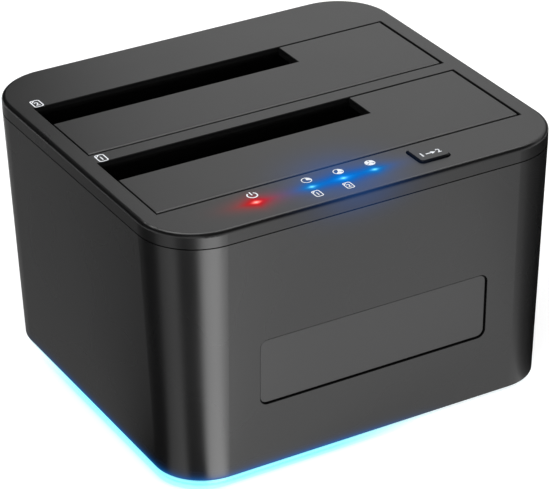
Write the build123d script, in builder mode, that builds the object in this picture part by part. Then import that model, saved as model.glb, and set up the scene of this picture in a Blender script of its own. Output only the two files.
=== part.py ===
"""Two-bay drive duplicator: a desk-top dock that takes two bare drives and copies one to the other.

Millimetres, +Z up, the front (name plate, button, lamps) faces -Y.
The origin is on the floor, under the middle of the footprint.
"""

import os
from math import cos, radians, sin, tan

from build123d import *

os.makedirs("parts", exist_ok=True)

# Overall form. Width, depth and height follow from the bays and what stands round them.
corner_radius = 15.8
cover_height = 3.9
floor_gap = 2.2  # from the floor up to the housing's lower edge
wall_draft = 2.0  # degrees by which every side wall leans in towards the floor

# Walls and shared gaps
housing_wall = 1.8
cover_plate = 2.2
cover_rim = 2.0
top_edge_radius = 1.1
seam_groove_height = 0.3
seam_groove_depth = 0.8
tongue_wall = 1.2
tongue_drop = 2.0
fit_gap = 0.15
running_gap = 0.06
cut_margin = 1.0  # by which a through cut runs past its far face

# Drive bays: the openings in the cover and the wells under them
bay_width = 104.0
bay_depth = 31.45
bay_divider = 4.85
bay_sink = 55.4  # from the cover's top down to the well's floor
well_setback = 1.5  # room behind the opening's rear edge for the flap's stop tabs
bay_edge_bevel = 0.2
well_wall = 1.2
well_floor = 1.5
side_clearance = 0.4  # between a well and the housing, where the leaning wall comes nearest
well_clearance = 5.5  # under the wells, for what stands on the main board
port_clearance = 1.15  # between the rear well and the longest port
skirt_drop = 8.0  # from the cover's top down to the end of the cover's skirt round a bay
guide_rib_width = 1.5
guide_rib_inset = 6.0  # of the left rib, from the bay's left end
guide_rib_x = (-16.0, 12.0)
well_leg_radius = 2.0
well_leg_inset = 12.0
well_leg_front = 4.5
well_leg_rear = 12.0

# Corner notch of each flap, the slot for a 2.5 inch drive
slot_length = 71.9
slot_depth = 10.8

# Flaps and their hinges
flap_thickness = 2.2
flap_gap_left = 0.15
flap_gap_right = 0.5
flap_gap_rear = 0.35
flap_gap_front = 0.4
flap_nose_radius = 0.9
flap_edge_bevel = 0.2
flap_rib_height = 1.3
flap_rib_width = 1.2
flap_rib_x = (-36.0, -12.0, 12.0, 36.0)
flap_rib_front_reach = 5.0
hinge_drop = 2.8  # from the cover's top down to the pin's axis
knuckle_radius = 1.9
knuckle_length = 9.0
knuckle_inset = 5.75  # of the outer knuckles, from the bay's ends
inner_knuckle_x = 17.0
knuckle_neck_reach = 3.5
pin_radius = 0.75
pin_end_play = 0.1
ear_gap = 0.03
stop_tab_width = 6.0
stop_tab_thickness = 1.2
stop_tab_reach = 1.15
stop_tab_root = 3.0
stop_tab_from_notch = 7.1
stop_tab_from_end = 6.5
stop_tab_gap = 0.05

# Torsion springs
spring_wire_radius = 0.22
spring_coil_radius = 1.17
spring_turns = 4
spring_pitch = 0.6
spring_wire_sides = 6
spring_flap_leg = 8.0
spring_wall_leg = 6.0
spring_relief_width = 6.0
spring_relief_reach = 12.0
spring_lug_width = 3.0
spring_lug_height = 3.0

# Corner posts of the cover and the screws that clamp cover, housing and base together
post_x_inset = 13.65
post_clearance = 0.35
post_radius = 2.8
base_screw_radius = 1.25
base_screw_bite = 8.0
screw_head_radius = 2.3
screw_head_height = 1.6
screw_head_bevel = 0.5
head_gap = 0.3

# Base plate, feet and vents
base_under = 1.6  # from the floor up to the base plate's underside
base_thickness = 2.0
base_boss_radius = 3.4
base_boss_height = 2.4
head_recess = 0.4
foot_radius = 5.0
foot_recess = 1.0
foot_bevel = 0.6
foot_x_inset = 23.25
foot_y_inset = 19.2
vent_length = 20.0
vent_width = 2.0
vent_pitch = 4.5
vent_rows = 7
vent_columns = 2
vent_column_pitch = 26.0
standoff_radius = 2.75
board_fixing_inset = 6.0  # from the bays' ends
board_fixing_reach = 12.0  # from the bays' front edges
rear_fixing_reach = 3.3  # behind the rear bay
usb_fixing_pitch = 7.7
jack_fixing_pitch = 9.8

# Light guide ring under the housing
ring_setback = 0.5
ring_flange = 1.2
ring_wall = 1.5
ring_lip_reach = 1.5
ring_lip_thickness = 1.0
ring_lamp_gap = 0.3

# Main board
board_thickness = 1.6
board_rise = 6.8  # from the base plate's underside up to the board's underside
board_inset = 0.5  # from the housing's inner lower edge
board_screw_radius = 1.0
board_screw_length = 4.5
ring_lamp_width = 1.4
ring_lamp_length = 2.8
ring_lamp_shift = 0.35  # of a lamp's middle, outwards from the ring's inner face
ring_lamp_height = 1.0
ring_lamp_pitch = 27.0
ring_lamp_count = 3

# Drive connectors, placed from the drive's side and rear face
drive_side_play = 1.2
connector_offset_x = 20.7
connector_offset_y = 4.5
connector_length = 42.0
connector_width = 7.0
connector_nose_length = 38.0
connector_nose_width = 6.0
connector_rise = 5.5  # above the well's floor
connector_window_gap = 0.5
blade_slot_width = 2.4
blade_slot_depth = 6.0
power_slot_length = 20.6
signal_slot_length = 10.4
slot_bridge = 2.3
slot_key_length = 1.3
slot_key_width = 1.3
contact_pitch = 1.27
contact_width = 0.6
contact_thickness = 0.35
power_contacts = 15
signal_contacts = 7

# Parts on the main board
chip_size = 9.0
chip_height = 1.0
chip_bevel = 0.25
chip_x = -2.0
chip_reach = 14.0  # of the parts under a well, from the bay's front edge
capacitor_radius = 3.15
capacitor_height = 7.7
capacitor_base_height = 1.0
front_capacitor_x = (-24.0, -16.0)
rear_capacitor_x = -2.2
rear_capacitor_inset = 12.2
coil_size = 7.0
coil_height = 4.0
coil_corner_radius = 1.2
coil_x = 16.0
coil_reach = 6.0
coil_pitch = 14.0
crystal_length = 11.0
crystal_width = 4.6
crystal_height = 3.5
crystal_reach = 4.0

# Ports on the back, left to right as seen from the front
usb_x = -14.0
usb_width = 9.2
usb_height = 12.0
usb_shoulder_height = 8.2
usb_shoulder_rise = 1.0
usb_top_width = 7.2
usb_shell = 0.4
usb_depth = 15.0
usb_tongue_depth = 9.0
usb_tongue_width = 5.6
usb_tongue_height = 3.2
usb_upper_tongue_width = 4.2
usb_upper_tongue_height = 1.6
jack_x = 8.0
jack_width = 9.0
jack_height = 11.0
jack_depth = 13.0
jack_bore_radius = 3.15
jack_bore_depth = 9.5
jack_pin_radius = 1.05
jack_pin_length = 8.5
jack_pin_nose = 0.5
jack_window_gap = 0.5
switch_post_gap = 2.8
switch_width = 13.8
switch_height = 11.2
switch_depth = 12.0
switch_wall = 1.3
bezel_width = 16.0
bezel_height = 12.4
bezel_thickness = 0.8
rocker_half_length = 5.4
rocker_height = 8.0
rocker_swing = 12.0  # degrees, from on to off
rocker_pivot_depth = 4.5
rocker_dish = 0.6
rocker_body_depth = 3.0
rocker_hub = 1.6
rocker_axle_radius = 0.8
rocker_axle_reach = 0.7
window_gap = 0.2

# Front plate
front_plate_side = 24.55  # from the body's side to the plate
front_plate_height = 18.2
front_plate_thickness = 1.2
front_plate_sill = 18.3  # from the housing's lower edge up to the plate
front_plate_radius = 2.0
front_plate_recess = 0.25
front_plate_gap = 0.3
front_plate_shift = 0.15  # by which the plate sits up and to the left of its pocket's middle
front_plate_edge = 0.2
front_pad_margin = 3.0
front_pad_thickness = 1.2
front_peg_radius = 1.0
front_peg_reach = 2.2
front_peg_x = 22.0

# Copy button and the push switch under it
button_x = 20.2
button_y_from_front = 9.3
button_width = 8.6
button_depth = 7.6
button_radius = 1.2
button_rise = 0.6
button_gap = 0.35
button_edge = 0.3
button_travel = 0.4
button_flange_margin = 1.0
button_flange_thickness = 0.8
button_flange_play = 0.05
button_stem_radius = 2.0
button_guide_wall = 1.0
button_guide_drop = 2.0
push_switch_size = 6.0
push_switch_height = 3.5
plunger_radius = 1.7
plunger_rise = 0.5
plunger_sink = 0.8

# Lamps in the front strip and the board that carries them
power_lamp_x = -28.75
progress_lamp_x = -4.4
progress_lamp_pitch = 8.9
lamp_y_from_front = 8.9
lens_radius = 0.85
lens_flange_radius = 1.6
lens_hole_gap = 0.05
lens_lamp_gap = 0.2
lamp_length = 3.5
lamp_width = 2.8
lamp_height = 1.9
lamp_board_margin = 1.0  # beyond the outer lamp and the push switch
lamp_board_width = 11.0
lamp_board_clearance = 0.7  # between the lamp board and the front well
lamp_board_sink = 8.4  # from the cover's top down to the board's top
lamp_board_y_from_front = 8.35
lamp_boss_x = (-21.0, 12.2)
lamp_boss_radius = 2.2

# Ribbon between the two boards
ribbon_x = -4.0
ribbon_width = 8.0
ribbon_thickness = 0.4
ribbon_slack = 1.0
ribbon_bend = 40.0
ribbon_straight = 7.0  # run straight out of each header
ribbon_bulge_drop = 23.0  # from the upper header down to the ribbon's widest swing
header_length = 10.0
header_width = 3.0
header_height = 2.5
ribbon_top_from_front = 10.4
ribbon_foot_from_front = 9.0

# Heights that follow
base_top_z = base_under + base_thickness
boss_top_z = base_top_z + base_boss_height
board_under_z = base_under + board_rise
board_top_z = board_under_z + board_thickness
well_under_z = board_top_z + well_clearance
well_floor_z = well_under_z + well_floor
top_z = well_floor_z + bay_sink
seam_z = top_z - cover_height
housing_height = seam_z - floor_gap
plate_under_z = top_z - cover_plate
skirt_end_z = top_z - skirt_drop
hinge_z = top_z - hinge_drop
lamp_board_top_z = top_z - lamp_board_sink

# Places in plan that follow
lean = tan(radians(wall_draft))
side_strip = housing_wall + (seam_z - well_under_z) * lean + well_wall + side_clearance
front_strip = lamp_board_y_from_front + lamp_board_width / 2 + lamp_board_clearance + well_wall
rear_strip = well_setback + well_wall + port_clearance + usb_depth + (seam_z - board_top_z) * lean
body_width = bay_width + 2 * side_strip
body_depth = front_strip + 2 * bay_depth + bay_divider + rear_strip
front_y = -body_depth / 2
rear_y = body_depth / 2
lower_inset = housing_height * lean
inner_inset = lower_inset + housing_wall
ring_outer_inset = inner_inset + fit_gap
ring_inner_inset = ring_outer_inset + ring_wall
base_inset = ring_inner_inset + fit_gap
board_edge_inset = inner_inset + board_inset
tongue_inset = housing_wall + tongue_drop * lean + fit_gap
front_bay_y = front_y + front_strip
bays = {"rear": front_bay_y + bay_depth + bay_divider, "front": front_bay_y}
well_depth = bay_depth + well_setback
hinge_setback = flap_gap_front + knuckle_radius
button_y = front_y + button_y_from_front
lamp_y = front_y + lamp_y_from_front
lamp_x = (power_lamp_x,) + tuple(progress_lamp_x + progress_lamp_pitch * step for step in (-1, 0, 1))
post_x = body_width / 2 - post_x_inset
post_y = body_depth / 2 - front_strip + well_wall + post_clearance + post_radius
post_places = [(side * post_x, end * post_y) for side in (-1, 1) for end in (-1, 1)]
connector_x = -bay_width / 2 + drive_side_play + connector_offset_x
switch_x = post_x - post_radius - switch_post_gap - bezel_width / 2
front_plate_width = body_width - 2 * front_plate_side
notch_right = -bay_width / 2 + slot_length
flap_left = -bay_width / 2 + flap_gap_left
flap_right = bay_width / 2 - flap_gap_right
stop_tab_x = (notch_right + stop_tab_from_notch, flap_right - stop_tab_from_end)
rib_x = (-bay_width / 2 + guide_rib_inset,) + guide_rib_x + (sum(stop_tab_x) / 2,)
outer_knuckle_x = bay_width / 2 - knuckle_inset
board_fixing_x = bay_width / 2 - board_fixing_inset
rear_fixing_y = bays["rear"] + bay_depth + rear_fixing_reach
board_fixings = [(side * board_fixing_x, y + board_fixing_reach) for side in (-1, 1) for y in bays.values()]
board_fixings += [(usb_x - usb_fixing_pitch, rear_fixing_y), (jack_x + jack_fixing_pitch, rear_fixing_y)]


def plan(inset, mode=Mode.ADD):
    """The body's rounded outline, drawn in by inset all round."""
    RectangleRounded(body_width - 2 * inset, body_depth - 2 * inset, corner_radius - inset, mode=mode)


def wall_inset(height):
    """How far the leaning outer wall stands in from the top outline at a height above the floor."""
    return (seam_z - height) * lean


def front_wall_plane(height):
    """A plane on the leaning front wall: its X along the wall, its Y up the wall, its Z outwards."""
    return Plane(
        origin=(0, front_y + wall_inset(height), height),
        x_dir=(1, 0, 0),
        z_dir=(0, -cos(radians(wall_draft)), -sin(radians(wall_draft))),
    )


def frame_edges(width, depth, wall):
    """A rectangular frame whose inside is width by depth."""
    Rectangle(width + 2 * wall, depth + 2 * wall)
    Rectangle(width, depth, mode=Mode.SUBTRACT)


# Top cover: plate, rim, tongue, skirts round the bays, hinge ears, posts and the front strip's holes
with BuildPart() as top_cover:
    with BuildSketch(Plane.XY.offset(seam_z)):
        plan(0)
    extrude(amount=cover_height)
    fillet(top_cover.edges().group_by(Axis.Z)[-1], top_edge_radius)
    with BuildSketch(Plane.XY.offset(seam_z)):
        plan(cover_rim)
    extrude(amount=cover_height - cover_plate, mode=Mode.SUBTRACT)
    with BuildSketch(Plane.XY.offset(seam_z - tongue_drop)):
        plan(tongue_inset)
        plan(tongue_inset + tongue_wall, mode=Mode.SUBTRACT)
    extrude(amount=plate_under_z - seam_z + tongue_drop)
    for bay_y in bays.values():
        with BuildSketch(Plane.XY.offset(skirt_end_z)):
            with Locations((0, bay_y + well_depth / 2)):
                Rectangle(bay_width + 2 * well_wall, well_depth + 2 * well_wall)
        extrude(amount=plate_under_z - skirt_end_z)
    for bay_y in bays.values():
        with BuildSketch(Plane.XY.offset(skirt_end_z)):
            with Locations((0, bay_y + well_depth / 2)):
                Rectangle(bay_width, well_depth)
        extrude(amount=plate_under_z - skirt_end_z, mode=Mode.SUBTRACT)
        with BuildSketch(Plane.XY.offset(plate_under_z)):
            with Locations((0, bay_y + bay_depth / 2)):
                Rectangle(bay_width, bay_depth)
        extrude(amount=cover_plate, mode=Mode.SUBTRACT)
        with BuildSketch(Plane.YZ.offset(-bay_width / 2 - well_wall)):
            with Locations((bay_y + hinge_setback, hinge_z)):
                Circle(pin_radius + ear_gap)
        extrude(amount=bay_width + 2 * well_wall, mode=Mode.SUBTRACT)
        lug_reach = hinge_setback - spring_coil_radius - spring_wire_radius
        with BuildSketch(Plane.XY.offset(skirt_end_z)):
            with Locations((spring_turns * spring_pitch / 2, bay_y + lug_reach / 2)):
                Rectangle(spring_lug_width, lug_reach)
        extrude(amount=spring_lug_height)
    cover_top = top_cover.faces().sort_by(Axis.Z)[-1]
    chamfer([edge for opening in cover_top.inner_wires() for edge in opening.edges()], bay_edge_bevel)
    with BuildSketch(Plane.XY.offset(boss_top_z)):
        with Locations(*post_places):
            Circle(post_radius)
    extrude(amount=plate_under_z - boss_top_z)
    with BuildSketch(Plane.XY.offset(boss_top_z)):
        with Locations(*post_places):
            Circle(base_screw_radius + ear_gap)
    extrude(amount=base_screw_bite + head_gap, mode=Mode.SUBTRACT)
    with BuildSketch(Plane.XY.offset(lamp_board_top_z)):
        with Locations(*[(x, lamp_y) for x in lamp_boss_x]):
            Circle(lamp_boss_radius)
    extrude(amount=plate_under_z - lamp_board_top_z)
    with BuildSketch(Plane.XY.offset(lamp_board_top_z)):
        with Locations(*[(x, lamp_y) for x in lamp_boss_x]):
            Circle(board_screw_radius + ear_gap)
    extrude(amount=board_screw_length, mode=Mode.SUBTRACT)
    guide_width = button_width + 2 * (button_flange_margin + button_gap)
    guide_depth = button_depth + 2 * (button_flange_margin + button_gap)
    with BuildSketch(Plane.XY.offset(plate_under_z - button_guide_drop)):
        with Locations((button_x, button_y)):
            frame_edges(guide_width, guide_depth, button_guide_wall)
    extrude(amount=button_guide_drop)
    with BuildSketch(Plane.XY.offset(plate_under_z)):
        with Locations((button_x, button_y)):
            RectangleRounded(
                button_width + 2 * button_gap, button_depth + 2 * button_gap, button_radius + button_gap
            )
        with Locations(*[(x, lamp_y) for x in lamp_x]):
            Circle(lens_radius + lens_hole_gap)
    extrude(amount=cover_plate, mode=Mode.SUBTRACT)
top_cover.part.label = "top_cover"
export_step(top_cover.part, "parts/top_cover.step")

# Housing: leaning sleeve with a shadow groove at the seam, a seat for the front plate and port windows
front_plate_middle = floor_gap + front_plate_sill + front_plate_height / 2
pocket_depth = front_plate_thickness + front_plate_recess
with BuildPart() as housing:
    with BuildSketch(Plane.XY.offset(seam_z)):
        plan(0)
    extrude(amount=-housing_height, taper=wall_draft)
    with BuildSketch(Plane.XY.offset(seam_z)):
        plan(housing_wall)
    extrude(amount=-housing_height, taper=wall_draft, mode=Mode.SUBTRACT)
    with BuildSketch(Plane.XY.offset(seam_z - seam_groove_height)):
        plan(0)
        plan(seam_groove_depth, mode=Mode.SUBTRACT)
    extrude(amount=seam_groove_height, mode=Mode.SUBTRACT)
    with BuildSketch(front_wall_plane(front_plate_middle).offset(-housing_wall / 2)):
        Rectangle(front_plate_width + 2 * front_pad_margin, front_plate_height + 2 * front_pad_margin)
    extrude(amount=-housing_wall / 2 - front_pad_thickness)
    with BuildSketch(front_wall_plane(front_plate_middle)):
        with Locations((front_plate_shift, -front_plate_shift)):
            RectangleRounded(
                front_plate_width + 2 * front_plate_gap,
                front_plate_height + 2 * front_plate_gap,
                front_plate_radius + front_plate_gap,
            )
    extrude(amount=-pocket_depth, mode=Mode.SUBTRACT)
    with BuildSketch(front_wall_plane(front_plate_middle)):
        with Locations((-front_peg_x, 0), (front_peg_x, 0)):
            Circle(front_peg_radius + ear_gap)
    extrude(amount=-housing_wall - front_pad_thickness - cut_margin, mode=Mode.SUBTRACT)
    with BuildSketch(Plane.XZ.offset(-rear_y)):
        with Locations((usb_x, board_top_z + usb_height / 2)):
            Rectangle(usb_width + 2 * window_gap, usb_height + 2 * window_gap)
        with Locations((jack_x, board_top_z + jack_height / 2)):
            Circle(jack_bore_radius + jack_window_gap)
        with Locations((switch_x, board_top_z + switch_height / 2)):
            Rectangle(switch_width + 2 * window_gap, switch_height + 2 * window_gap)
    extrude(amount=inner_inset + cut_margin, mode=Mode.SUBTRACT)
housing.part.label = "housing"
export_step(housing.part, "parts/housing.step")

# Front plate: bare insert with two pegs that pass through the wall
with BuildPart() as front_plate:
    with BuildSketch(front_wall_plane(front_plate_middle).offset(-pocket_depth)):
        RectangleRounded(front_plate_width, front_plate_height, front_plate_radius)
    extrude(amount=front_plate_thickness)
    outer_face = front_plate.faces().sort_by(Axis.Y)[0]
    chamfer(outer_face.edges(), front_plate_edge)
    with BuildSketch(front_wall_plane(front_plate_middle).offset(-pocket_depth)):
        with Locations((-front_peg_x, 0), (front_peg_x, 0)):
            Circle(front_peg_radius)
    extrude(amount=-front_peg_reach)
front_plate.part.label = "front_plate"
export_step(front_plate.part, "parts/front_plate.step")

# Light guide ring: a flange under the housing, an upstand inside it and a lip that the base plate lifts
with BuildPart() as light_ring:
    with BuildSketch(Plane.XY.offset(floor_gap - ring_flange)):
        plan(lower_inset + ring_setback)
        plan(ring_inner_inset, mode=Mode.SUBTRACT)
    extrude(amount=ring_flange)
    with BuildSketch(Plane.XY.offset(floor_gap)):
        plan(ring_outer_inset)
        plan(ring_inner_inset, mode=Mode.SUBTRACT)
    extrude(amount=board_under_z - ring_lamp_height - ring_lamp_gap - floor_gap)
    with BuildSketch(Plane.XY.offset(base_top_z)):
        plan(ring_inner_inset - ring_wall / 2)
        plan(ring_inner_inset + ring_lip_reach, mode=Mode.SUBTRACT)
    extrude(amount=ring_lip_thickness)
light_ring.part.label = "light_ring"
export_step(light_ring.part, "parts/light_ring.step")

# Base plate: vents, foot recesses, screw bosses and standoffs for the main board
foot_x = body_width / 2 - foot_x_inset
foot_y = body_depth / 2 - foot_y_inset
foot_places = [(side * foot_x, end * foot_y) for side in (-1, 1) for end in (-1, 1)]
with BuildPart() as base_plate:
    with BuildSketch(Plane.XY.offset(base_under)):
        plan(base_inset)
    extrude(amount=base_thickness)
    with BuildSketch(Plane.XY.offset(base_top_z)):
        with Locations(*post_places):
            Circle(base_boss_radius)
    extrude(amount=base_boss_height)
    with BuildSketch(Plane.XY.offset(base_top_z)):
        with Locations(*board_fixings):
            Circle(standoff_radius)
    extrude(amount=board_under_z - base_top_z)
    with BuildSketch(Plane.XY.offset(base_under)):
        with GridLocations(vent_column_pitch, vent_pitch, vent_columns, vent_rows):
            Rectangle(vent_length, vent_width)
    extrude(amount=base_thickness, mode=Mode.SUBTRACT)
    with BuildSketch(Plane.XY.offset(base_under)):
        with Locations(*foot_places):
            Circle(foot_radius + fit_gap)
    extrude(amount=foot_recess, mode=Mode.SUBTRACT)
    with BuildSketch(Plane.XY.offset(base_under)):
        with Locations(*post_places):
            Circle(screw_head_radius + head_gap)
    extrude(amount=head_recess + screw_head_height, mode=Mode.SUBTRACT)
    with BuildSketch(Plane.XY.offset(base_under)):
        with Locations(*post_places):
            Circle(base_screw_radius + fit_gap)
    extrude(amount=boss_top_z - base_under, mode=Mode.SUBTRACT)
    with BuildSketch(Plane.XY.offset(board_under_z)):
        with Locations(*board_fixings):
            Circle(board_screw_radius + ear_gap)
    extrude(amount=board_thickness - board_screw_length, mode=Mode.SUBTRACT)
base_plate.part.label = "base_plate"
export_step(base_plate.part, "parts/base_plate.step")

# Rubber feet, pressed into the base plate's recesses
foot_names = ("foot_front_left", "foot_rear_left", "foot_front_right", "foot_rear_right")
for foot_name, place in zip(foot_names, foot_places):
    with BuildPart() as foot:
        with BuildSketch():
            with Locations(place):
                Circle(foot_radius)
        extrude(amount=base_under + foot_recess)
        chamfer(foot.edges().group_by(Axis.Z)[0], foot_bevel)
    foot.part.label = foot_name
    export_step(foot.part, f"parts/{foot_name}.step")

# Main board, with holes for the cover's posts
with BuildPart() as main_board:
    with BuildSketch(Plane.XY.offset(board_under_z)):
        plan(board_edge_inset)
        with Locations(*post_places):
            Circle(post_radius + head_gap, mode=Mode.SUBTRACT)
        with Locations(*board_fixings):
            Circle(board_screw_radius + fit_gap, mode=Mode.SUBTRACT)
    extrude(amount=board_thickness)
main_board.part.label = "main_board"
export_step(main_board.part, "parts/main_board.step")


def pan_screw(shank, shank_length):
    """A pan-head screw, head up, its seat at the origin."""
    with BuildPart() as screw:
        with BuildSketch():
            Circle(screw_head_radius)
        extrude(amount=screw_head_height)
        chamfer(screw.edges().group_by(Axis.Z)[-1], screw_head_bevel)
        with BuildSketch():
            Circle(shank)
        extrude(amount=-shank_length)
    return screw.part


base_screw = pan_screw(base_screw_radius, base_boss_height + base_screw_bite)
board_screw = pan_screw(board_screw_radius, board_screw_length)

with BuildPart() as base_screws:
    screw_seat_z = base_under + head_recess + screw_head_height
    with Locations(*[Location((x, y, screw_seat_z), (180, 0, 0)) for x, y in post_places]):
        add(base_screw)
base_screws.part.label = "base_screws"
export_step(base_screws.part, "parts/base_screws.step")

with BuildPart() as board_screws:
    with Locations(*[(x, y, board_top_z) for x, y in board_fixings]):
        add(board_screw)
board_screws.part.label = "board_screws"
export_step(board_screws.part, "parts/board_screws.step")

with BuildPart() as lamp_board_screws:
    lamp_board_under_z = lamp_board_top_z - board_thickness
    with Locations(*[Location((x, lamp_y, lamp_board_under_z), (180, 0, 0)) for x in lamp_boss_x]):
        add(board_screw)
lamp_board_screws.part.label = "lamp_board_screws"
export_step(lamp_board_screws.part, "parts/lamp_board_screws.step")

# Ring lamps, under the main board's edges and over the light guide ring
lamp_edge_x = body_width / 2 - ring_inner_inset + ring_lamp_shift
lamp_edge_y = body_depth / 2 - ring_inner_inset + ring_lamp_shift
lamp_steps = [(step - (ring_lamp_count - 1) / 2) * ring_lamp_pitch for step in range(ring_lamp_count)]
with BuildPart() as ring_lamps:
    with BuildSketch(Plane.XY.offset(board_under_z)):
        with Locations(*[(side * lamp_edge_x, step) for side in (-1, 1) for step in lamp_steps]):
            Rectangle(ring_lamp_width, ring_lamp_length)
        with Locations(*[(step, side * lamp_edge_y) for side in (-1, 1) for step in lamp_steps]):
            Rectangle(ring_lamp_length, ring_lamp_width)
    extrude(amount=-ring_lamp_height)
ring_lamps.part.label = "ring_lamps"
export_step(ring_lamps.part, "parts/ring_lamps.step")

# Each bay: well, connector and its contacts, flap, pin and torsion spring
for bay_name, bay_y in bays.items():
    bay_rear_y = bay_y + bay_depth
    well_y = bay_y + well_depth / 2
    hinge_y = bay_y + hinge_setback
    connector_y = bay_rear_y - connector_offset_y

    # Well: an open-topped box that butts against the cover's skirt and stands on the main board
    with BuildPart() as guide:
        with BuildSketch(Plane.XY.offset(well_under_z)):
            with Locations((0, well_y)):
                Rectangle(bay_width + 2 * well_wall, well_depth + 2 * well_wall)
        extrude(amount=skirt_end_z - well_under_z)
        with BuildSketch(Plane.XY.offset(well_floor_z)):
            with Locations((0, well_y)):
                Rectangle(bay_width, well_depth)
        extrude(amount=skirt_end_z - well_floor_z, mode=Mode.SUBTRACT)
        with BuildSketch(Plane.XY.offset(well_floor_z)):
            with Locations(*[(x, bay_rear_y + well_setback / 2) for x in rib_x]):
                Rectangle(guide_rib_width, well_setback)
        extrude(amount=skirt_end_z - well_floor_z)
        with BuildSketch(Plane.XY.offset(board_top_z)):
            leg_x = bay_width / 2 - well_leg_inset
            leg_rows = (bay_y + well_leg_front, bay_rear_y - well_leg_rear)
            with Locations(*[(side * leg_x, leg_y) for side in (-1, 1) for leg_y in leg_rows]):
                Circle(well_leg_radius)
        extrude(amount=well_clearance)
        with BuildSketch(Plane.XY.offset(well_under_z)):
            with Locations((connector_x, connector_y)):
                Rectangle(
                    connector_nose_length + 2 * connector_window_gap,
                    connector_nose_width + 2 * connector_window_gap,
                )
        extrude(amount=well_floor, mode=Mode.SUBTRACT)
    guide.part.label = f"{bay_name}_drive_guide"
    export_step(guide.part, f"parts/{bay_name}_drive_guide.step")

    # Connector: a foot on the board and a nose through the well's floor, with two keyed blade slots
    connector_top_z = well_floor_z + connector_rise
    slots_length = power_slot_length + slot_bridge + signal_slot_length
    power_slot_x = connector_x - slots_length / 2 + power_slot_length / 2
    signal_slot_x = connector_x + slots_length / 2 - signal_slot_length / 2
    with BuildPart() as connector:
        with BuildSketch(Plane.XY.offset(board_top_z)):
            with Locations((connector_x, connector_y)):
                Rectangle(connector_length, connector_width)
        extrude(amount=well_clearance - head_gap)
        with BuildSketch(Plane.XY.offset(well_under_z - head_gap)):
            with Locations((connector_x, connector_y)):
                Rectangle(connector_nose_length, connector_nose_width)
        extrude(amount=connector_top_z - well_under_z + head_gap)
        with BuildSketch(Plane.XY.offset(connector_top_z)):
            with Locations((power_slot_x, connector_y)):
                Rectangle(power_slot_length, blade_slot_width)
            with Locations((signal_slot_x, connector_y)):
                Rectangle(signal_slot_length, blade_slot_width)
            for slot_x, length in ((power_slot_x, power_slot_length), (signal_slot_x, signal_slot_length)):
                key_x = slot_x + (length - slot_key_length) / 2
                with Locations((key_x, connector_y - (blade_slot_width + slot_key_width) / 2)):
                    Rectangle(slot_key_length, slot_key_width)
        extrude(amount=-blade_slot_depth, mode=Mode.SUBTRACT)
    connector.part.label = f"{bay_name}_connector"
    export_step(connector.part, f"parts/{bay_name}_connector.step")

    with BuildPart() as contacts:
        contact_y = connector_y + (blade_slot_width - contact_thickness) / 2
        with BuildSketch(Plane.XY.offset(connector_top_z - blade_slot_depth)):
            with Locations((power_slot_x, contact_y)):
                with GridLocations(contact_pitch, 0, power_contacts, 1):
                    Rectangle(contact_width, contact_thickness)
            with Locations((signal_slot_x, contact_y)):
                with GridLocations(contact_pitch, 0, signal_contacts, 1):
                    Rectangle(contact_width, contact_thickness)
        extrude(amount=blade_slot_depth - contact_thickness)
    contacts.part.label = f"{bay_name}_contacts"
    export_step(contacts.part, f"parts/{bay_name}_contacts.step")

    # Flap: a plate with a notched rear corner, a round nose, knuckles, ribs, stop tabs and a spring relief
    flap_front = bay_y + flap_gap_front
    flap_rear = bay_rear_y - flap_gap_rear
    flap_under_z = top_z - flap_thickness
    notch_front = bay_rear_y - slot_depth
    with BuildPart() as flap:
        with BuildSketch(Plane.XY.offset(flap_under_z)):
            with BuildLine():
                Polyline(
                    (flap_left, flap_front), (flap_right, flap_front), (flap_right, flap_rear),
                    (notch_right, flap_rear), (notch_right, notch_front), (flap_left, notch_front),
                    close=True,
                )
            make_face()
        extrude(amount=flap_thickness)
        top_edges = flap.edges().group_by(Axis.Z)[-1]
        nose_edge = top_edges.filter_by(Axis.X).sort_by(Axis.Y)[0]
        fillet(nose_edge, flap_nose_radius)
        rim_edges = flap.faces().sort_by(Axis.Z)[-1].edges().sort_by(Axis.Y)[1:]
        chamfer(rim_edges, flap_edge_bevel)
        for x in (-outer_knuckle_x, -inner_knuckle_x, inner_knuckle_x, outer_knuckle_x):
            with BuildSketch(Plane.YZ.offset(x - knuckle_length / 2)):
                with Locations((hinge_y, hinge_z)):
                    Circle(knuckle_radius)
                with Locations((hinge_y + knuckle_neck_reach / 2 - knuckle_radius / 2, flap_under_z)):
                    Rectangle(knuckle_neck_reach + knuckle_radius, 2 * (flap_under_z - hinge_z))
            extrude(amount=knuckle_length)
        with BuildSketch(Plane.XY.offset(flap_under_z)):
            rib_front = hinge_y + flap_rib_front_reach
            rib_length = notch_front - flap_rib_width - rib_front
            with Locations(*[(x, rib_front + rib_length / 2) for x in flap_rib_x]):
                Rectangle(flap_rib_width, rib_length)
            with Locations(((flap_left + flap_right) / 2, notch_front - flap_rib_width)):
                Rectangle(flap_right - flap_left - 2 * flap_rib_width, flap_rib_width)
        extrude(amount=-flap_rib_height)
        with BuildSketch(Plane.XY.offset(flap_under_z - stop_tab_gap)):
            tab_length = stop_tab_root + stop_tab_reach + flap_gap_rear
            with Locations(*[(x, flap_rear - stop_tab_root + tab_length / 2) for x in stop_tab_x]):
                Rectangle(stop_tab_width, tab_length)
        extrude(amount=-stop_tab_thickness)
        with BuildSketch(Plane.XY.offset(flap_under_z - stop_tab_gap)):
            with Locations(*[(x, flap_rear - stop_tab_root / 2 - flap_edge_bevel) for x in stop_tab_x]):
                Rectangle(stop_tab_width, stop_tab_root)
        extrude(amount=2 * stop_tab_gap)
        with BuildSketch(Plane.XY.offset(flap_under_z)):
            with Locations((0, flap_front + spring_relief_reach / 2)):
                Rectangle(spring_relief_width, spring_relief_reach)
        relief_depth = spring_coil_radius + spring_wire_radius + running_gap - (flap_under_z - hinge_z)
        extrude(amount=relief_depth, mode=Mode.SUBTRACT)
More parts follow.
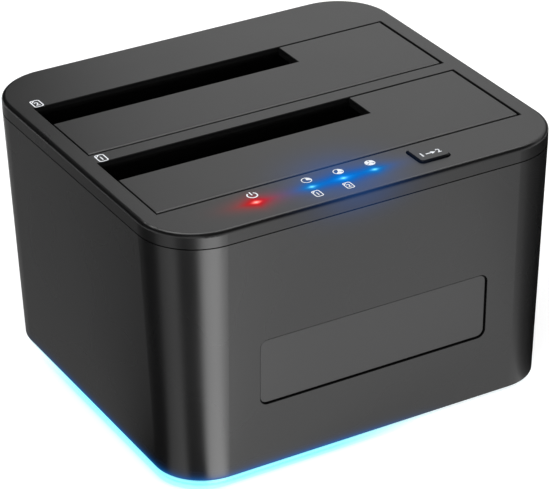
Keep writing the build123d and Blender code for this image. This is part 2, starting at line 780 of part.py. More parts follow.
        with BuildSketch(Plane.YZ.offset(flap_left)):
            with Locations((hinge_y, hinge_z)):
                Circle(pin_radius + running_gap)
        extrude(amount=flap_right - flap_left, mode=Mode.SUBTRACT)
    flap.part.label = f"{bay_name}_flap"
    export_step(flap.part, f"parts/{bay_name}_flap.step")

    # Pin, held at its ends in the cover's skirt
    with BuildPart() as pin:
        pin_half = bay_width / 2 + well_wall - pin_end_play
        with BuildSketch(Plane.YZ.offset(-pin_half)):
            with Locations((hinge_y, hinge_z)):
                Circle(pin_radius)
        extrude(amount=2 * pin_half)
    pin.part.label = f"{bay_name}_flap_pin"
    export_step(pin.part, f"parts/{bay_name}_flap_pin.step")

    # Torsion spring: one leg under the flap, the other down the cover's skirt
    coil_length = spring_turns * spring_pitch
    with BuildPart() as spring:
        with BuildLine() as spring_wire:
            coil = Helix(
                pitch=spring_pitch,
                height=coil_length + spring_pitch / 4,
                radius=spring_coil_radius,
                center=(-coil_length / 2, hinge_y, hinge_z),
                direction=(1, 0, 0),
            )
            flap_leg = Line(coil @ 0 - (coil % 0) * spring_flap_leg, coil @ 0)
            Line(coil @ 1, coil @ 1 + (coil % 1) * spring_wall_leg)
        with BuildSketch(Plane(origin=flap_leg @ 0, z_dir=flap_leg % 0)):
            RegularPolygon(spring_wire_radius, spring_wire_sides)
        sweep(path=spring_wire.line)
    spring.part.label = f"{bay_name}_flap_spring"
    export_step(spring.part, f"parts/{bay_name}_flap_spring.step")

# Bridge chips, capacitors, coils and crystal on the main board
ribbon_foot_y = front_y + ribbon_foot_from_front
capacitor_places = [(x, ribbon_foot_y) for x in front_capacitor_x]
capacitor_places += [(rear_capacitor_x, rear_y - rear_capacitor_inset)]
coil_places = [(coil_x, bay_y + coil_reach) for bay_y in bays.values()]
coil_places += [(coil_x, bays["rear"] + coil_reach + coil_pitch)]
with BuildPart() as bridge_chips:
    with BuildSketch(Plane.XY.offset(board_top_z)):
        with Locations(*[(chip_x, bay_y + chip_reach) for bay_y in bays.values()]):
            Rectangle(chip_size, chip_size)
    extrude(amount=chip_height)
    chamfer(bridge_chips.edges().group_by(Axis.Z)[-1], chip_bevel)
bridge_chips.part.label = "bridge_chips"
export_step(bridge_chips.part, "parts/bridge_chips.step")

with BuildPart() as capacitors:
    with BuildSketch(Plane.XY.offset(board_top_z)):
        with Locations(*capacitor_places):
            Rectangle(2 * capacitor_radius, 2 * capacitor_radius)
    extrude(amount=capacitor_base_height)
    with BuildSketch(Plane.XY.offset(board_top_z + capacitor_base_height)):
        with Locations(*capacitor_places):
            Circle(capacitor_radius)
    extrude(amount=capacitor_height - capacitor_base_height)
capacitors.part.label = "capacitors"
export_step(capacitors.part, "parts/capacitors.step")

with BuildPart() as power_coils:
    with BuildSketch(Plane.XY.offset(board_top_z)):
        with Locations(*coil_places):
            RectangleRounded(coil_size, coil_size, coil_corner_radius)
    extrude(amount=coil_height)
power_coils.part.label = "power_coils"
export_step(power_coils.part, "parts/power_coils.step")

with BuildPart() as crystal:
    with BuildSketch(Plane.XY.offset(board_top_z)):
        with Locations((chip_x, bays["rear"] + crystal_reach)):
            SlotOverall(crystal_length, crystal_width)
    extrude(amount=crystal_height)
crystal.part.label = "crystal"
export_step(crystal.part, "parts/crystal.step")

# Data port: stepped metal shell, open to the back, with a stepped tongue inside
usb_mouth_y = rear_y - wall_inset(board_top_z)
usb_step_height = usb_shoulder_height + usb_shoulder_rise
with BuildPart() as usb_port:
    with BuildSketch(Plane((usb_x, usb_mouth_y, board_top_z), x_dir=(1, 0, 0), z_dir=(0, -1, 0))):
        with BuildLine():
            Polyline(
                (-usb_width / 2, 0), (usb_width / 2, 0), (usb_width / 2, usb_shoulder_height),
                (usb_top_width / 2, usb_step_height), (usb_top_width / 2, usb_height),
                (-usb_top_width / 2, usb_height), (-usb_top_width / 2, usb_step_height),
                (-usb_width / 2, usb_shoulder_height), close=True,
            )
        make_face()
    extrude(amount=usb_depth)
    mouth = usb_port.faces().sort_by(Axis.Y)[-1]
    offset(amount=-usb_shell, openings=mouth)
usb_port.part.label = "usb_port"
export_step(usb_port.part, "parts/usb_port.step")

with BuildPart() as usb_tongue:
    with BuildSketch(Plane.XZ.offset(usb_depth - usb_shell - usb_mouth_y)):
        with Locations((usb_x, board_top_z + usb_shoulder_height / 2)):
            Rectangle(usb_tongue_width, usb_tongue_height)
        upper_z = board_top_z + (usb_step_height + usb_height - usb_shell) / 2
        with Locations((usb_x, upper_z)):
            Rectangle(usb_upper_tongue_width, usb_upper_tongue_height)
    extrude(amount=-usb_tongue_depth)
usb_tongue.part.label = "usb_tongue"
export_step(usb_tongue.part, "parts/usb_tongue.step")

# Power jack: a block behind the wall with a round bore and a centre pin
jack_mouth_y = rear_y - wall_inset(board_top_z) - housing_wall - fit_gap
jack_axis_z = board_top_z + jack_height / 2
with BuildPart() as power_jack:
    with BuildSketch(Plane.XZ.offset(-jack_mouth_y)):
        with Locations((jack_x, jack_axis_z)):
            Rectangle(jack_width, jack_height)
    extrude(amount=jack_depth)
    with BuildSketch(Plane.XZ.offset(-jack_mouth_y)):
        with Locations((jack_x, jack_axis_z)):
            Circle(jack_bore_radius)
    extrude(amount=jack_bore_depth, mode=Mode.SUBTRACT)
power_jack.part.label = "power_jack"
export_step(power_jack.part, "parts/power_jack.step")

with BuildPart() as jack_pin:
    with BuildSketch(Plane.XZ.offset(jack_bore_depth - jack_mouth_y)):
        with Locations((jack_x, jack_axis_z)):
            Circle(jack_pin_radius)
    extrude(amount=-jack_pin_length)
    chamfer(jack_pin.edges().sort_by(Axis.Y)[-1], jack_pin_nose)
jack_pin.part.label = "jack_pin"
export_step(jack_pin.part, "parts/jack_pin.step")

# Power switch: a case on the board with a bezel outside the wall, and a rocker on its own axle
switch_z = board_top_z + switch_height / 2
bezel_y = rear_y - wall_inset(switch_z + bezel_height / 2) + running_gap
bezel_face_y = bezel_y + bezel_thickness
pivot_y = bezel_face_y - rocker_pivot_depth
half_swing = radians(rocker_swing / 2)
cavity_half = rocker_half_length * cos(half_swing) + rocker_pivot_depth * sin(half_swing) + fit_gap
with BuildPart() as power_switch:
    with BuildSketch(Plane.XZ.offset(-bezel_y)):
        with Locations((switch_x, switch_z)):
            Rectangle(switch_width, switch_height)
    extrude(amount=switch_depth)
    with BuildSketch(Plane.XZ.offset(-bezel_y)):
        with Locations((switch_x, switch_z)):
            RectangleRounded(bezel_width, bezel_height, bezel_thickness)
    extrude(amount=-bezel_thickness)
    with BuildSketch(Plane.XZ.offset(-bezel_face_y)):
        with Locations((switch_x, switch_z)):
            Rectangle(2 * cavity_half, rocker_height + 2 * fit_gap)
    extrude(amount=bezel_thickness + switch_depth - switch_wall, mode=Mode.SUBTRACT)
    with BuildSketch(Plane.XY.offset(switch_z)):
        with Locations((switch_x, pivot_y)):
            Circle(rocker_axle_radius + running_gap)
    extrude(amount=rocker_height / 2 + rocker_axle_reach + fit_gap, both=True, mode=Mode.SUBTRACT)
power_switch.part.label = "power_switch"
export_step(power_switch.part, "parts/power_switch.step")

with BuildPart() as power_rocker:
    rocker_x_dir = (cos(half_swing), sin(half_swing), 0)
    with BuildSketch(Plane((switch_x, pivot_y, switch_z), x_dir=rocker_x_dir)):
        with BuildLine():
            Polyline(
                (-rocker_half_length, rocker_pivot_depth), (0, rocker_pivot_depth - rocker_dish),
                (rocker_half_length, rocker_pivot_depth),
                (rocker_half_length, rocker_pivot_depth - rocker_body_depth),
                (rocker_hub, -rocker_hub), (-rocker_hub, -rocker_hub),
                (-rocker_half_length, rocker_pivot_depth - rocker_body_depth), close=True,
            )
        make_face()
    extrude(amount=rocker_height / 2, both=True)
    with BuildSketch(Plane((switch_x, pivot_y, switch_z), x_dir=rocker_x_dir)):
        Circle(rocker_axle_radius)
    extrude(amount=rocker_height / 2 + rocker_axle_reach, both=True)
power_rocker.part.label = "power_rocker"
export_step(power_rocker.part, "parts/power_rocker.step")

# Copy button: cap, retaining flange and stem
flange_top_z = plate_under_z - button_flange_play
plunger_top_z = lamp_board_top_z + push_switch_height + plunger_rise
with BuildPart() as copy_button:
    with BuildSketch(Plane.XY.offset(flange_top_z)):
        with Locations((button_x, button_y)):
            RectangleRounded(button_width, button_depth, button_radius)
    extrude(amount=top_z + button_rise - flange_top_z)
    chamfer(copy_button.edges().group_by(Axis.Z)[-1], button_edge)
    with BuildSketch(Plane.XY.offset(flange_top_z)):
        with Locations((button_x, button_y)):
            Rectangle(button_width + 2 * button_flange_margin, button_depth + 2 * button_flange_margin)
    extrude(amount=-button_flange_thickness)
    with BuildSketch(Plane.XY.offset(flange_top_z - button_flange_thickness)):
        with Locations((button_x, button_y)):
            Circle(button_stem_radius)
    extrude(amount=plunger_top_z - flange_top_z + button_flange_thickness)
copy_button.part.label = "copy_button"
export_step(copy_button.part, "parts/copy_button.step")

with BuildPart() as push_switch:
    with BuildSketch(Plane.XY.offset(lamp_board_top_z)):
        with Locations((button_x, button_y)):
            Rectangle(push_switch_size, push_switch_size)
    extrude(amount=push_switch_height)
    with BuildSketch(Plane.XY.offset(lamp_board_top_z + push_switch_height)):
        with Locations((button_x, button_y)):
            Circle(plunger_radius + running_gap)
    extrude(amount=-plunger_sink - button_travel - running_gap, mode=Mode.SUBTRACT)
push_switch.part.label = "push_switch"
export_step(push_switch.part, "parts/push_switch.step")

with BuildPart() as push_switch_plunger:
    with BuildSketch(Plane.XY.offset(plunger_top_z)):
        with Locations((button_x, button_y)):
            Circle(plunger_radius)
    extrude(amount=-plunger_rise - plunger_sink)
push_switch_plunger.part.label = "push_switch_plunger"
export_step(push_switch_plunger.part, "parts/push_switch_plunger.step")

# Lamp board under the front strip, its lamps and the lenses that carry their light up through the cover
lamp_board_left = power_lamp_x - lamp_length / 2 - lamp_board_margin
lamp_board_right = button_x + push_switch_size / 2 + lamp_board_margin
with BuildPart() as lamp_board:
    with BuildSketch(Plane.XY.offset(lamp_board_top_z)):
        with Locations(((lamp_board_left + lamp_board_right) / 2, front_y + lamp_board_y_from_front)):
            Rectangle(lamp_board_right - lamp_board_left, lamp_board_width)
        with Locations(*[(x, lamp_y) for x in lamp_boss_x]):
            Circle(board_screw_radius + fit_gap, mode=Mode.SUBTRACT)
    extrude(amount=-board_thickness)
lamp_board.part.label = "lamp_board"
export_step(lamp_board.part, "parts/lamp_board.step")

with BuildPart() as front_lamps:
    with BuildSketch(Plane.XY.offset(lamp_board_top_z)):
        with Locations(*[(x, lamp_y) for x in lamp_x]):
            Rectangle(lamp_length, lamp_width)
    extrude(amount=lamp_height)
front_lamps.part.label = "front_lamps"
export_step(front_lamps.part, "parts/front_lamps.step")

lens_foot_z = lamp_board_top_z + lamp_height + lens_lamp_gap
for lens_name, places in (("power_lens", lamp_x[:1]), ("progress_lenses", lamp_x[1:])):
    with BuildPart() as lens:
        with BuildSketch(Plane.XY.offset(lens_foot_z)):
            with Locations(*[(x, lamp_y) for x in places]):
                Circle(lens_flange_radius)
        extrude(amount=plate_under_z - lens_foot_z)
        with BuildSketch(Plane.XY.offset(plate_under_z)):
            with Locations(*[(x, lamp_y) for x in places]):
                Circle(lens_radius)
        extrude(amount=cover_plate)
    lens.part.label = lens_name
    export_step(lens.part, f"parts/{lens_name}.step")

# Ribbon between the boards, with a header at each end
ribbon_top_y = front_y + ribbon_top_from_front
upper_header_z = lamp_board_top_z - board_thickness - header_height
lower_header_z = board_top_z + header_height
with BuildPart() as ribbon_headers:
    with BuildSketch(Plane.XY.offset(upper_header_z)):
        with Locations((ribbon_x, ribbon_top_y)):
            Rectangle(header_length, header_width)
    extrude(amount=header_height)
    with BuildSketch(Plane.XY.offset(board_top_z)):
        with Locations((ribbon_x, ribbon_foot_y)):
            Rectangle(header_length, header_width)
    extrude(amount=header_height)
ribbon_headers.part.label = "ribbon_headers"
export_step(ribbon_headers.part, "parts/ribbon_headers.step")

with BuildPart() as ribbon:
    with BuildLine(Plane.YZ.offset(ribbon_x)) as ribbon_path:
        FilletPolyline(
            (ribbon_top_y, upper_header_z),
            (ribbon_top_y, upper_header_z - ribbon_straight),
            (ribbon_foot_y - ribbon_slack, upper_header_z - ribbon_bulge_drop),
            (ribbon_foot_y, lower_header_z + ribbon_straight),
            (ribbon_foot_y, lower_header_z),
            radius=ribbon_bend,
        )
    with BuildSketch(Plane((ribbon_x, ribbon_top_y, upper_header_z), x_dir=(1, 0, 0), z_dir=(0, 0, -1))):
        Rectangle(ribbon_width, ribbon_thickness)
    sweep(path=ribbon_path.line)
ribbon.part.label = "ribbon"
export_step(ribbon.part, "parts/ribbon.step")
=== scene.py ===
# %% [markdown]
# # A drive duplicator in satin black plastic
#
# The object is a desk-top dock. Two bare drives stand in it, behind sprung flaps, and a button copies
# one drive to the other. Its working parts are fixed already, so this script only dresses them: it
# gives each part its finish, models the small things that a plain solid lacks, and sets up the studio.

# %% Load the finished frame
import math

import bmesh
import bpy
from mathutils import Matrix, Vector


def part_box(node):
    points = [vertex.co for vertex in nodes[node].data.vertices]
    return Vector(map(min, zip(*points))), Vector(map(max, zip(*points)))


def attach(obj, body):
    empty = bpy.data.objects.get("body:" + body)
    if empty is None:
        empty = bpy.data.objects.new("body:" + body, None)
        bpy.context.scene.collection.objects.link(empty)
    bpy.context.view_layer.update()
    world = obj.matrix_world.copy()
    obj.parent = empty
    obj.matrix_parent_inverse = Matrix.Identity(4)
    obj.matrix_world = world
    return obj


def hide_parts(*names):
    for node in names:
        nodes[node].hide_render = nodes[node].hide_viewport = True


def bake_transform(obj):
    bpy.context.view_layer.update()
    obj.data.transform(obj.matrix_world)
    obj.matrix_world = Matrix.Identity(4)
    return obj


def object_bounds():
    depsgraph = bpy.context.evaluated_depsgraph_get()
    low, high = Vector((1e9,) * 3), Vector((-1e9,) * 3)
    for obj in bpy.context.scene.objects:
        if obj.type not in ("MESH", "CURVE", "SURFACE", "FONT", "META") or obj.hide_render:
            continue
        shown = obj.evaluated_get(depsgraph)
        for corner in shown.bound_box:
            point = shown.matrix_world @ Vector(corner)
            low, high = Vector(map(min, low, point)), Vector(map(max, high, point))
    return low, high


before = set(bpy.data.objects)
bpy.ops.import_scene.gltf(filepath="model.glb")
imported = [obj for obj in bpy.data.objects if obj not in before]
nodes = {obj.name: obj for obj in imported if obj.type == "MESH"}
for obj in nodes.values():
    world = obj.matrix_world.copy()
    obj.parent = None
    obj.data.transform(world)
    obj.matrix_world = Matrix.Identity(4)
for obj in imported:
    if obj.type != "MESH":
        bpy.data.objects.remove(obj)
cad_low, cad_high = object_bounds()
mm = 0.001
print("Parts loaded:", len(nodes), "size in mm:", [round(side / mm, 1) for side in cad_high - cad_low])

# %% [markdown]
# ## Places that everything else is measured from
#
# Heights and edges come from the parts of the frame, so a mark or a lamp stays on the part that
# carries it. The sides of the bays and of the front strip are distances from the middle of the top.

# %% Read the main heights and edges
cover_low, cover_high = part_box("top_cover")
top_z = cover_high.z
housing_edge_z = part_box("housing")[0].z
flap_names = ("rear_flap", "front_flap")
nose_y = {flap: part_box(flap)[0].y for flap in flap_names}
button_low, button_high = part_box("copy_button")
power_lens_low, power_lens_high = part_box("power_lens")
plate_low, plate_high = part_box("front_plate")
progress_low, progress_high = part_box("progress_lenses")
power_lamp = (power_lens_low + power_lens_high) / 2
progress_middle = (progress_low + progress_high) / 2
progress_pitch = (progress_high.x - progress_low.x - (progress_high.y - progress_low.y)) / 2
progress_lamps = [progress_middle + Vector((step * progress_pitch, 0, 0)) for step in (-1, 0, 1)]
bay_side_x = 52.15 * mm
bay_gap = 0.5 * mm
bays_front_y = nose_y["front_flap"] - bay_gap
bays_rear_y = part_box("rear_flap")[1].y + bay_gap
strip_side_x = 36 * mm
strip_front_y = cover_low.y + 3 * mm
print("Top at", round(top_z / mm, 2), "mm; lamps at", [round(p.x / mm, 2) for p in progress_lamps])

# %% [markdown]
# ## Modelling helpers
#
# An operator works on everything that is selected, so each helper starts from a clean selection.
# `pick` selects faces, edges or points by their place, as a modeller does by eye, and `settle`
# finishes a piece: its place goes into its mesh, and it rides on a body.

# %% Selection and finishing helpers
def deselect_all():
    """Leave edit mode and select nothing."""
    if bpy.context.object and bpy.context.object.mode != "OBJECT":
        bpy.ops.object.mode_set(mode="OBJECT")
    bpy.ops.object.select_all(action="DESELECT")


def only(piece):
    """Make one piece the selected and active object."""
    deselect_all()
    piece.select_set(True)
    bpy.context.view_layer.objects.active = piece
    return piece


def place_into_mesh(piece):
    """Put a piece's place, turn and size into its mesh."""
    only(piece)
    bpy.ops.object.transform_apply(location=True, rotation=True, scale=True)
    return piece


def middle(member):
    """The middle of a face or an edge, or the place of a point."""
    corners = getattr(member, "verts", [member])
    return sum((corner.co for corner in corners), Vector()) / len(corners)


def pick(piece, kind, test=lambda member: True):
    """In edit mode, select the faces, edges or points that pass the test, or all of them."""
    only(piece)
    bpy.ops.object.mode_set(mode="EDIT")
    bpy.ops.mesh.select_mode(type=kind)
    bpy.ops.mesh.select_all(action="DESELECT")
    shape = bmesh.from_edit_mesh(piece.data)
    members = {"FACE": shape.faces, "EDGE": shape.edges, "VERT": shape.verts}[kind]
    for member in members:
        member.select_set(test(member))
    bmesh.update_edit_mesh(piece.data)


def join(pieces):
    """Join several objects into the first."""
    only(pieces[0])
    for piece in pieces:
        piece.select_set(True)
    bpy.ops.object.join()
    return pieces[0]


def settle(piece, name, body, finish, stands_for=()):
    """Put the piece's place into its mesh, name it, give it its finish and let it ride on a body."""
    place_into_mesh(piece)
    piece.name = piece.data.name = name
    piece.data.materials.clear()
    piece.data.materials.append(finish)
    if body:
        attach(piece, body)
    if stands_for:
        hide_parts(*stands_for)
    print(name, "has", len(piece.data.polygons), "faces")
    return piece

# %% [markdown]
# ## Shader helpers
#
# A material is a small tree of nodes. `place` adds one node and fills its sockets, each with a value
# or with the output of another node, so that a tree reads from top to bottom. The helpers after it
# each add one kind of node and return its result.

# %% Node helpers
def place(tree, kind, sockets=None, **settings):
    """Add a node, apply its settings, and give each named socket a value or a link."""
    node = tree.nodes.new("ShaderNode" + kind)
    for name, value in settings.items():
        setattr(node, name, value)
    for name, value in (sockets or {}).items():
        if isinstance(value, bpy.types.NodeSocket):
            tree.links.new(value, node.inputs[name])
        else:
            node.inputs[name].default_value = value
    return node


def compute(tree, operation, *values):
    """The result of a sum on numbers."""
    return place(tree, "Math", dict(enumerate(values)), operation=operation).outputs[0]


def compute_vector(tree, operation, *values, result="Vector"):
    """The result of a sum on places or colours."""
    return place(tree, "VectorMath", dict(enumerate(values)), operation=operation).outputs[result]


def scaled(tree, vector, factor):
    """A place or a colour times a number."""
    return place(tree, "VectorMath", {0: vector, "Scale": factor}, operation="SCALE").outputs[0]


def ranged(tree, value, old, new=(0.0, 1.0), **settings):
    """A value carried over from an old range to a new one."""
    sockets = {"Value": value, "From Min": old[0], "From Max": old[1], "To Min": new[0], "To Max": new[1]}
    return place(tree, "MapRange", sockets, **settings).outputs["Result"]


def mixed(tree, share, first, second):
    """Two colours mixed; a share of 1 gives the second."""
    return place(tree, "MixRGB", {"Fac": share, "Color1": first, "Color2": second}).outputs["Color"]


def bumped(tree, height, strength, distance, **more):
    """The normal of a surface with small relief."""
    sockets = {"Height": height, "Strength": strength, "Distance": distance, **more}
    return place(tree, "Bump", sockets).outputs["Normal"]


def object_place(tree):
    """The place on the object, in metres."""
    return place(tree, "TexCoord").outputs["Object"]


def axes_of(tree, vector):
    """The X, Y and Z of a place."""
    return place(tree, "SeparateXYZ", {"Vector": vector}).outputs


def start_group(name, inputs, outputs):
    """A new node group with named sockets, and what comes in through them."""
    group = bpy.data.node_groups.new(name, "ShaderNodeTree")
    for way, sockets in (("INPUT", inputs), ("OUTPUT", outputs)):
        for label, kind in sockets.items():
            group.interface.new_socket(name=label, in_out=way, socket_type="NodeSocket" + kind)
    return group, group.nodes.new("NodeGroupInput").outputs


def finish_group(group, results):
    """Send each named result out of its group."""
    ends = group.nodes.new("NodeGroupOutput")
    for label, result in results.items():
        group.links.new(result, ends.inputs[label])
    print("Group", group.name, "has", len(group.nodes), "nodes")


def use_group(tree, group, sockets):
    """Place a finished group in a material, and return its outputs."""
    return place(tree, "Group", sockets, node_tree=group).outputs


def start_material(name):
    """A new material with an empty tree."""
    material = bpy.data.materials.new(name)
    material.use_nodes = True
    material.node_tree.nodes.clear()
    return material, material.node_tree


def finish_material(tree, surface):
    """Send a shader to the material's output."""
    place(tree, "OutputMaterial", {"Surface": surface.outputs[0]})

# %% [markdown]
# ## Moulded grain and painted shade in the bays
#
# The plastic is moulded against a finely etched steel surface, so it is satin and never quite even.
# The fine noise gives height for a bump, and a slow noise varies the roughness and the tone a
# little, which keeps wide faces from looking like paint. The group also paints shade: where the part
# asks for it, the plastic inside the bays and the gaps goes black and fully rough below the top, as
# painted shade, so they read as deep.

# %% The grain group, which also paints shade in the bays
patch_scale = 40.0
pocket_depth, pocket_brim = 1.6 * mm, 0.7 * mm
grain_shade_group, grain_shade_in = start_group(
    "grain_and_pocket_shade",
    {"Grain size": "Float", "Roughness": "Float", "Unevenness": "Float", "Pocket shade": "Float",
     "Colour": "Color"},
    {"Colour": "Color", "Roughness": "Float", "Height": "Float", "Painted daylight": "Float"},
)
grain_place = object_place(grain_shade_group)
fine_scale = compute(grain_shade_group, "DIVIDE", 1.0, grain_shade_in["Grain size"])
fine_noise = place(grain_shade_group, "TexNoise", {"Vector": grain_place, "Scale": fine_scale, "Detail": 2.0})
patches = place(grain_shade_group, "TexNoise", {"Vector": grain_place, "Scale": patch_scale, "Detail": 1.0})
patch_sway = ranged(grain_shade_group, patches.outputs["Fac"], (0.3, 0.7), (-1.0, 1.0), clamp=False)
sway = compute(grain_shade_group, "MULTIPLY", patch_sway, grain_shade_in["Unevenness"])
rough_sum = compute(grain_shade_group, "ADD", sway, grain_shade_in["Roughness"])
shade = scaled(grain_shade_group, grain_shade_in["Colour"], compute(grain_shade_group, "ADD", sway, 1.0))
grain_axes = axes_of(grain_shade_group, grain_place)
side_reach = compute(grain_shade_group, "ABSOLUTE", grain_axes["X"])
in_strip = compute(grain_shade_group, "LESS_THAN", side_reach, strip_side_x)
pocket_front_y = ranged(grain_shade_group, in_strip, (0.0, 1.0), (bays_front_y, strip_front_y))
# Painted shade: below the top, inside the bays and the gaps, the colour goes to black.
painted_daylight = ranged(grain_shade_group, grain_axes["Z"], (top_z - pocket_depth, top_z - pocket_brim))
for lit_too in (
    compute(grain_shade_group, "GREATER_THAN", side_reach, bay_side_x),
    compute(grain_shade_group, "LESS_THAN", grain_axes["Y"], pocket_front_y),
    compute(grain_shade_group, "GREATER_THAN", grain_axes["Y"], bays_rear_y),
    compute(grain_shade_group, "SUBTRACT", 1.0, grain_shade_in["Pocket shade"]),
):
    painted_daylight = compute(grain_shade_group, "MAXIMUM", painted_daylight, lit_too)
finish_group(grain_shade_group, {
    "Colour": scaled(grain_shade_group, shade, painted_daylight),
    "Roughness": ranged(grain_shade_group, painted_daylight, (0.0, 1.0), (1.0, rough_sum)),
    "Height": fine_noise.outputs["Fac"],
    "Painted daylight": painted_daylight,
})

# %% [markdown]
# ## Light spilt by the lamps
#
# The lamps are much brighter than the studio, so their light spreads over the satin plastic round
# them. Real lamp light is scattered in the lens, which is slow and noisy to trace. This group gives
# the same soft spot: it falls off smoothly with the distance from a centre, wider one way than the
# other, and is added to whatever light came before it. A power of 2 gives a round spot and a power
# near 1 gives the pointed, diamond-like one of a small bright lamp.

# %% The haze group
haze_group, haze_in = start_group(
    "lamp_haze",
    {"Centre": "Vector", "Spread": "Vector", "Power": "Float", "Tint": "Color", "Before": "Color"},
    {"Colour": "Color"},
)
from_centre = compute_vector(haze_group, "SUBTRACT", object_place(haze_group), haze_in["Centre"])
in_spreads = compute_vector(haze_group, "DIVIDE", from_centre, haze_in["Spread"])
spread_axes = axes_of(haze_group, compute_vector(haze_group, "ABSOLUTE", in_spreads))
distance = 0.0
for axis in "XYZ":
    raised = compute(haze_group, "POWER", spread_axes[axis], haze_in["Power"])
    distance = compute(haze_group, "ADD", raised, distance)
falloff = compute(haze_group, "EXPONENT", compute(haze_group, "MULTIPLY", distance, -1.0))
spot = scaled(haze_group, haze_in["Tint"], falloff)
finish_group(haze_group, {"Colour": compute_vector(haze_group, "ADD", haze_in["Before"], spot)})

# %% [markdown]
# Each lamp has a small bright core, a coloured halo and a wide faint haze. The three blue lamps share
# their haze. The widest part of it also reaches the flap, the button and the housing.

# %% Which lamps spill light, how far and in what colour
def spill(point, spread, tint, power=2.0):
    """One spot of lamp light: its centre, its spread in x, y and z in mm, its colour and its shape."""
    return {
        "Centre": tuple(point),
        "Spread": tuple(reach * mm for reach in spread),
        "Tint": (*tint, 1.0),
        "Power": power,
    }


power_point = Vector((power_lamp.x, power_lamp.y, top_z))
progress_points = [Vector((p.x, p.y, top_z)) for p in progress_lamps]
red_spills = [
    spill(power_point, (0.80, 0.50, 2), (1.0, 0.62, 0.55), 1.5),
    spill(power_point, (2.5, 1.8, 3), (0.90, 0.0, 0.0), 1.2),
    spill(power_point, (7.5, 3.2, 4), (0.14, 0.0, 0.0)),
]
blue_spills = []
for point in progress_points:
    blue_spills += [spill(point, (0.70, 0.42, 2), (0.25, 0.85, 0.8), 1.5)]
    blue_spills += [spill(point, (2.4, 1.7, 3), (0.0, 0.22, 0.55), 1.2)]
wide_spill = spill(progress_points[1], (11.5, 11, 5.5), (0.0, 0.050, 0.21))
blue_spills += [spill(progress_points[1], (12.5, 2.6, 3), (0.0, 0.07, 0.34)), wide_spill]
print("Spots of lamp light:", len(red_spills + blue_spills))

# %% [markdown]
# Strong lamp light drowns the grey reflection of the room. This group makes the plastic there act like
# a dark mirror with a rough face, and paints a little of the lamp's colour into its base colour, so
# that the colour of the lamp stays pure.

# %% The drowning group
lamp_weights = (1.6, 0.8, 1.6)
drowning_light = 1.1
drowned_shade = 0.03
drowned_rough = 0.9
drown_group, drown_in = start_group(
    "drowned_by_lamps",
    {"Light": "Color", "Painted daylight": "Float", "Colour": "Color", "Roughness": "Float"},
    {"Light": "Color", "Colour": "Color", "Roughness": "Float", "Share": "Float"},
)
unshaded_lamp_light = scaled(drown_group, drown_in["Light"], drown_in["Painted daylight"])
light_amount = compute_vector(drown_group, "DOT_PRODUCT", unshaded_lamp_light, lamp_weights, result="Value")
lamp_share = ranged(drown_group, light_amount, (0.0, drowning_light))
painted_lamp_colour = scaled(drown_group, unshaded_lamp_light, drowned_shade)
finish_group(drown_group, {
    "Light": unshaded_lamp_light,
    "Colour": mixed(drown_group, lamp_share, drown_in["Colour"], painted_lamp_colour),
    "Roughness": ranged(drown_group, lamp_share, (0.0, 1.0), (drown_in["Roughness"], drowned_rough)),
    "Share": lamp_share,
})

# %% [markdown]
# ## Light that leaves the ring
#
# A light guide runs round the underside. It lights the housing's lowest edge and the floor close to
# it. The light is strongest round the front left corner and fades along the front and along the left
# side, so one group gives that fade.

# %% The ring's fade and the glow of the housing's lower edge
ring_full_x, ring_dark_x = -14 * mm, 27 * mm
ring_full_y, ring_dark_y = 4 * mm, 46 * mm
edge_reach = 0.7 * mm
fade_group, fade_in = start_group("ring_fade", {"Place": "Vector"}, {"Share": "Float"})
fade_axes = axes_of(fade_group, fade_in["Place"])
fades = [
    ranged(fade_group, fade_axes[axis], span, (1.0, 0.0), interpolation_type="SMOOTHSTEP")
    for axis, span in (("X", (ring_full_x, ring_dark_x)), ("Y", (ring_full_y, ring_dark_y)))
]
finish_group(fade_group, {"Share": compute(fade_group, "MULTIPLY", *fades)})

edge_group, edge_in = start_group("edge_glow", {"Tint": "Color", "Before": "Color"}, {"Colour": "Color"})
edge_place = object_place(edge_group)
below = compute(edge_group, "SUBTRACT", housing_edge_z, axes_of(edge_group, edge_place)["Z"])
edge_falloff = compute(edge_group, "EXPONENT", compute(edge_group, "DIVIDE", below, edge_reach))
edge_share = use_group(edge_group, fade_group, {"Place": edge_place})["Share"]
edge_level = compute(edge_group, "MULTIPLY", edge_falloff, edge_share)
edge_light = scaled(edge_group, edge_in["Tint"], edge_level)
finish_group(edge_group, {"Colour": compute_vector(edge_group, "ADD", edge_in["Before"], edge_light)})

# %% [markdown]
# ## The plastics
#
# Most parts are the same black, moulded with a coarser or a finer etch. One function makes them
# all. The colour is a dark grey and not pure black, because what makes plastic read as plastic is
# the soft reflection of the room on it. A flap's rounded nose alone would show as a thick dark line,
# so the nose group turns the normals near that edge up again, and the line stays thin.

# %% The nose group
nose_reach = 0.95 * mm
nose_rise = 0.12 * mm
nose_group, nose_in = start_group("flap_nose", {"Edge": "Float"}, {"Height": "Float"})
nose_axes = axes_of(nose_group, object_place(nose_group))
from_edge = compute(nose_group, "SUBTRACT", nose_axes["Y"], nose_in["Edge"])
to_go = compute(nose_group, "SUBTRACT", 1.0, compute(nose_group, "DIVIDE", from_edge, nose_reach))
near_edge = compute(nose_group, "MAXIMUM", to_go, 0.0)
nose_curve = compute(nose_group, "POWER", near_edge, 2.0)
finish_group(nose_group, {"Height": compute(nose_group, "MULTIPLY", nose_curve, nose_rise)})

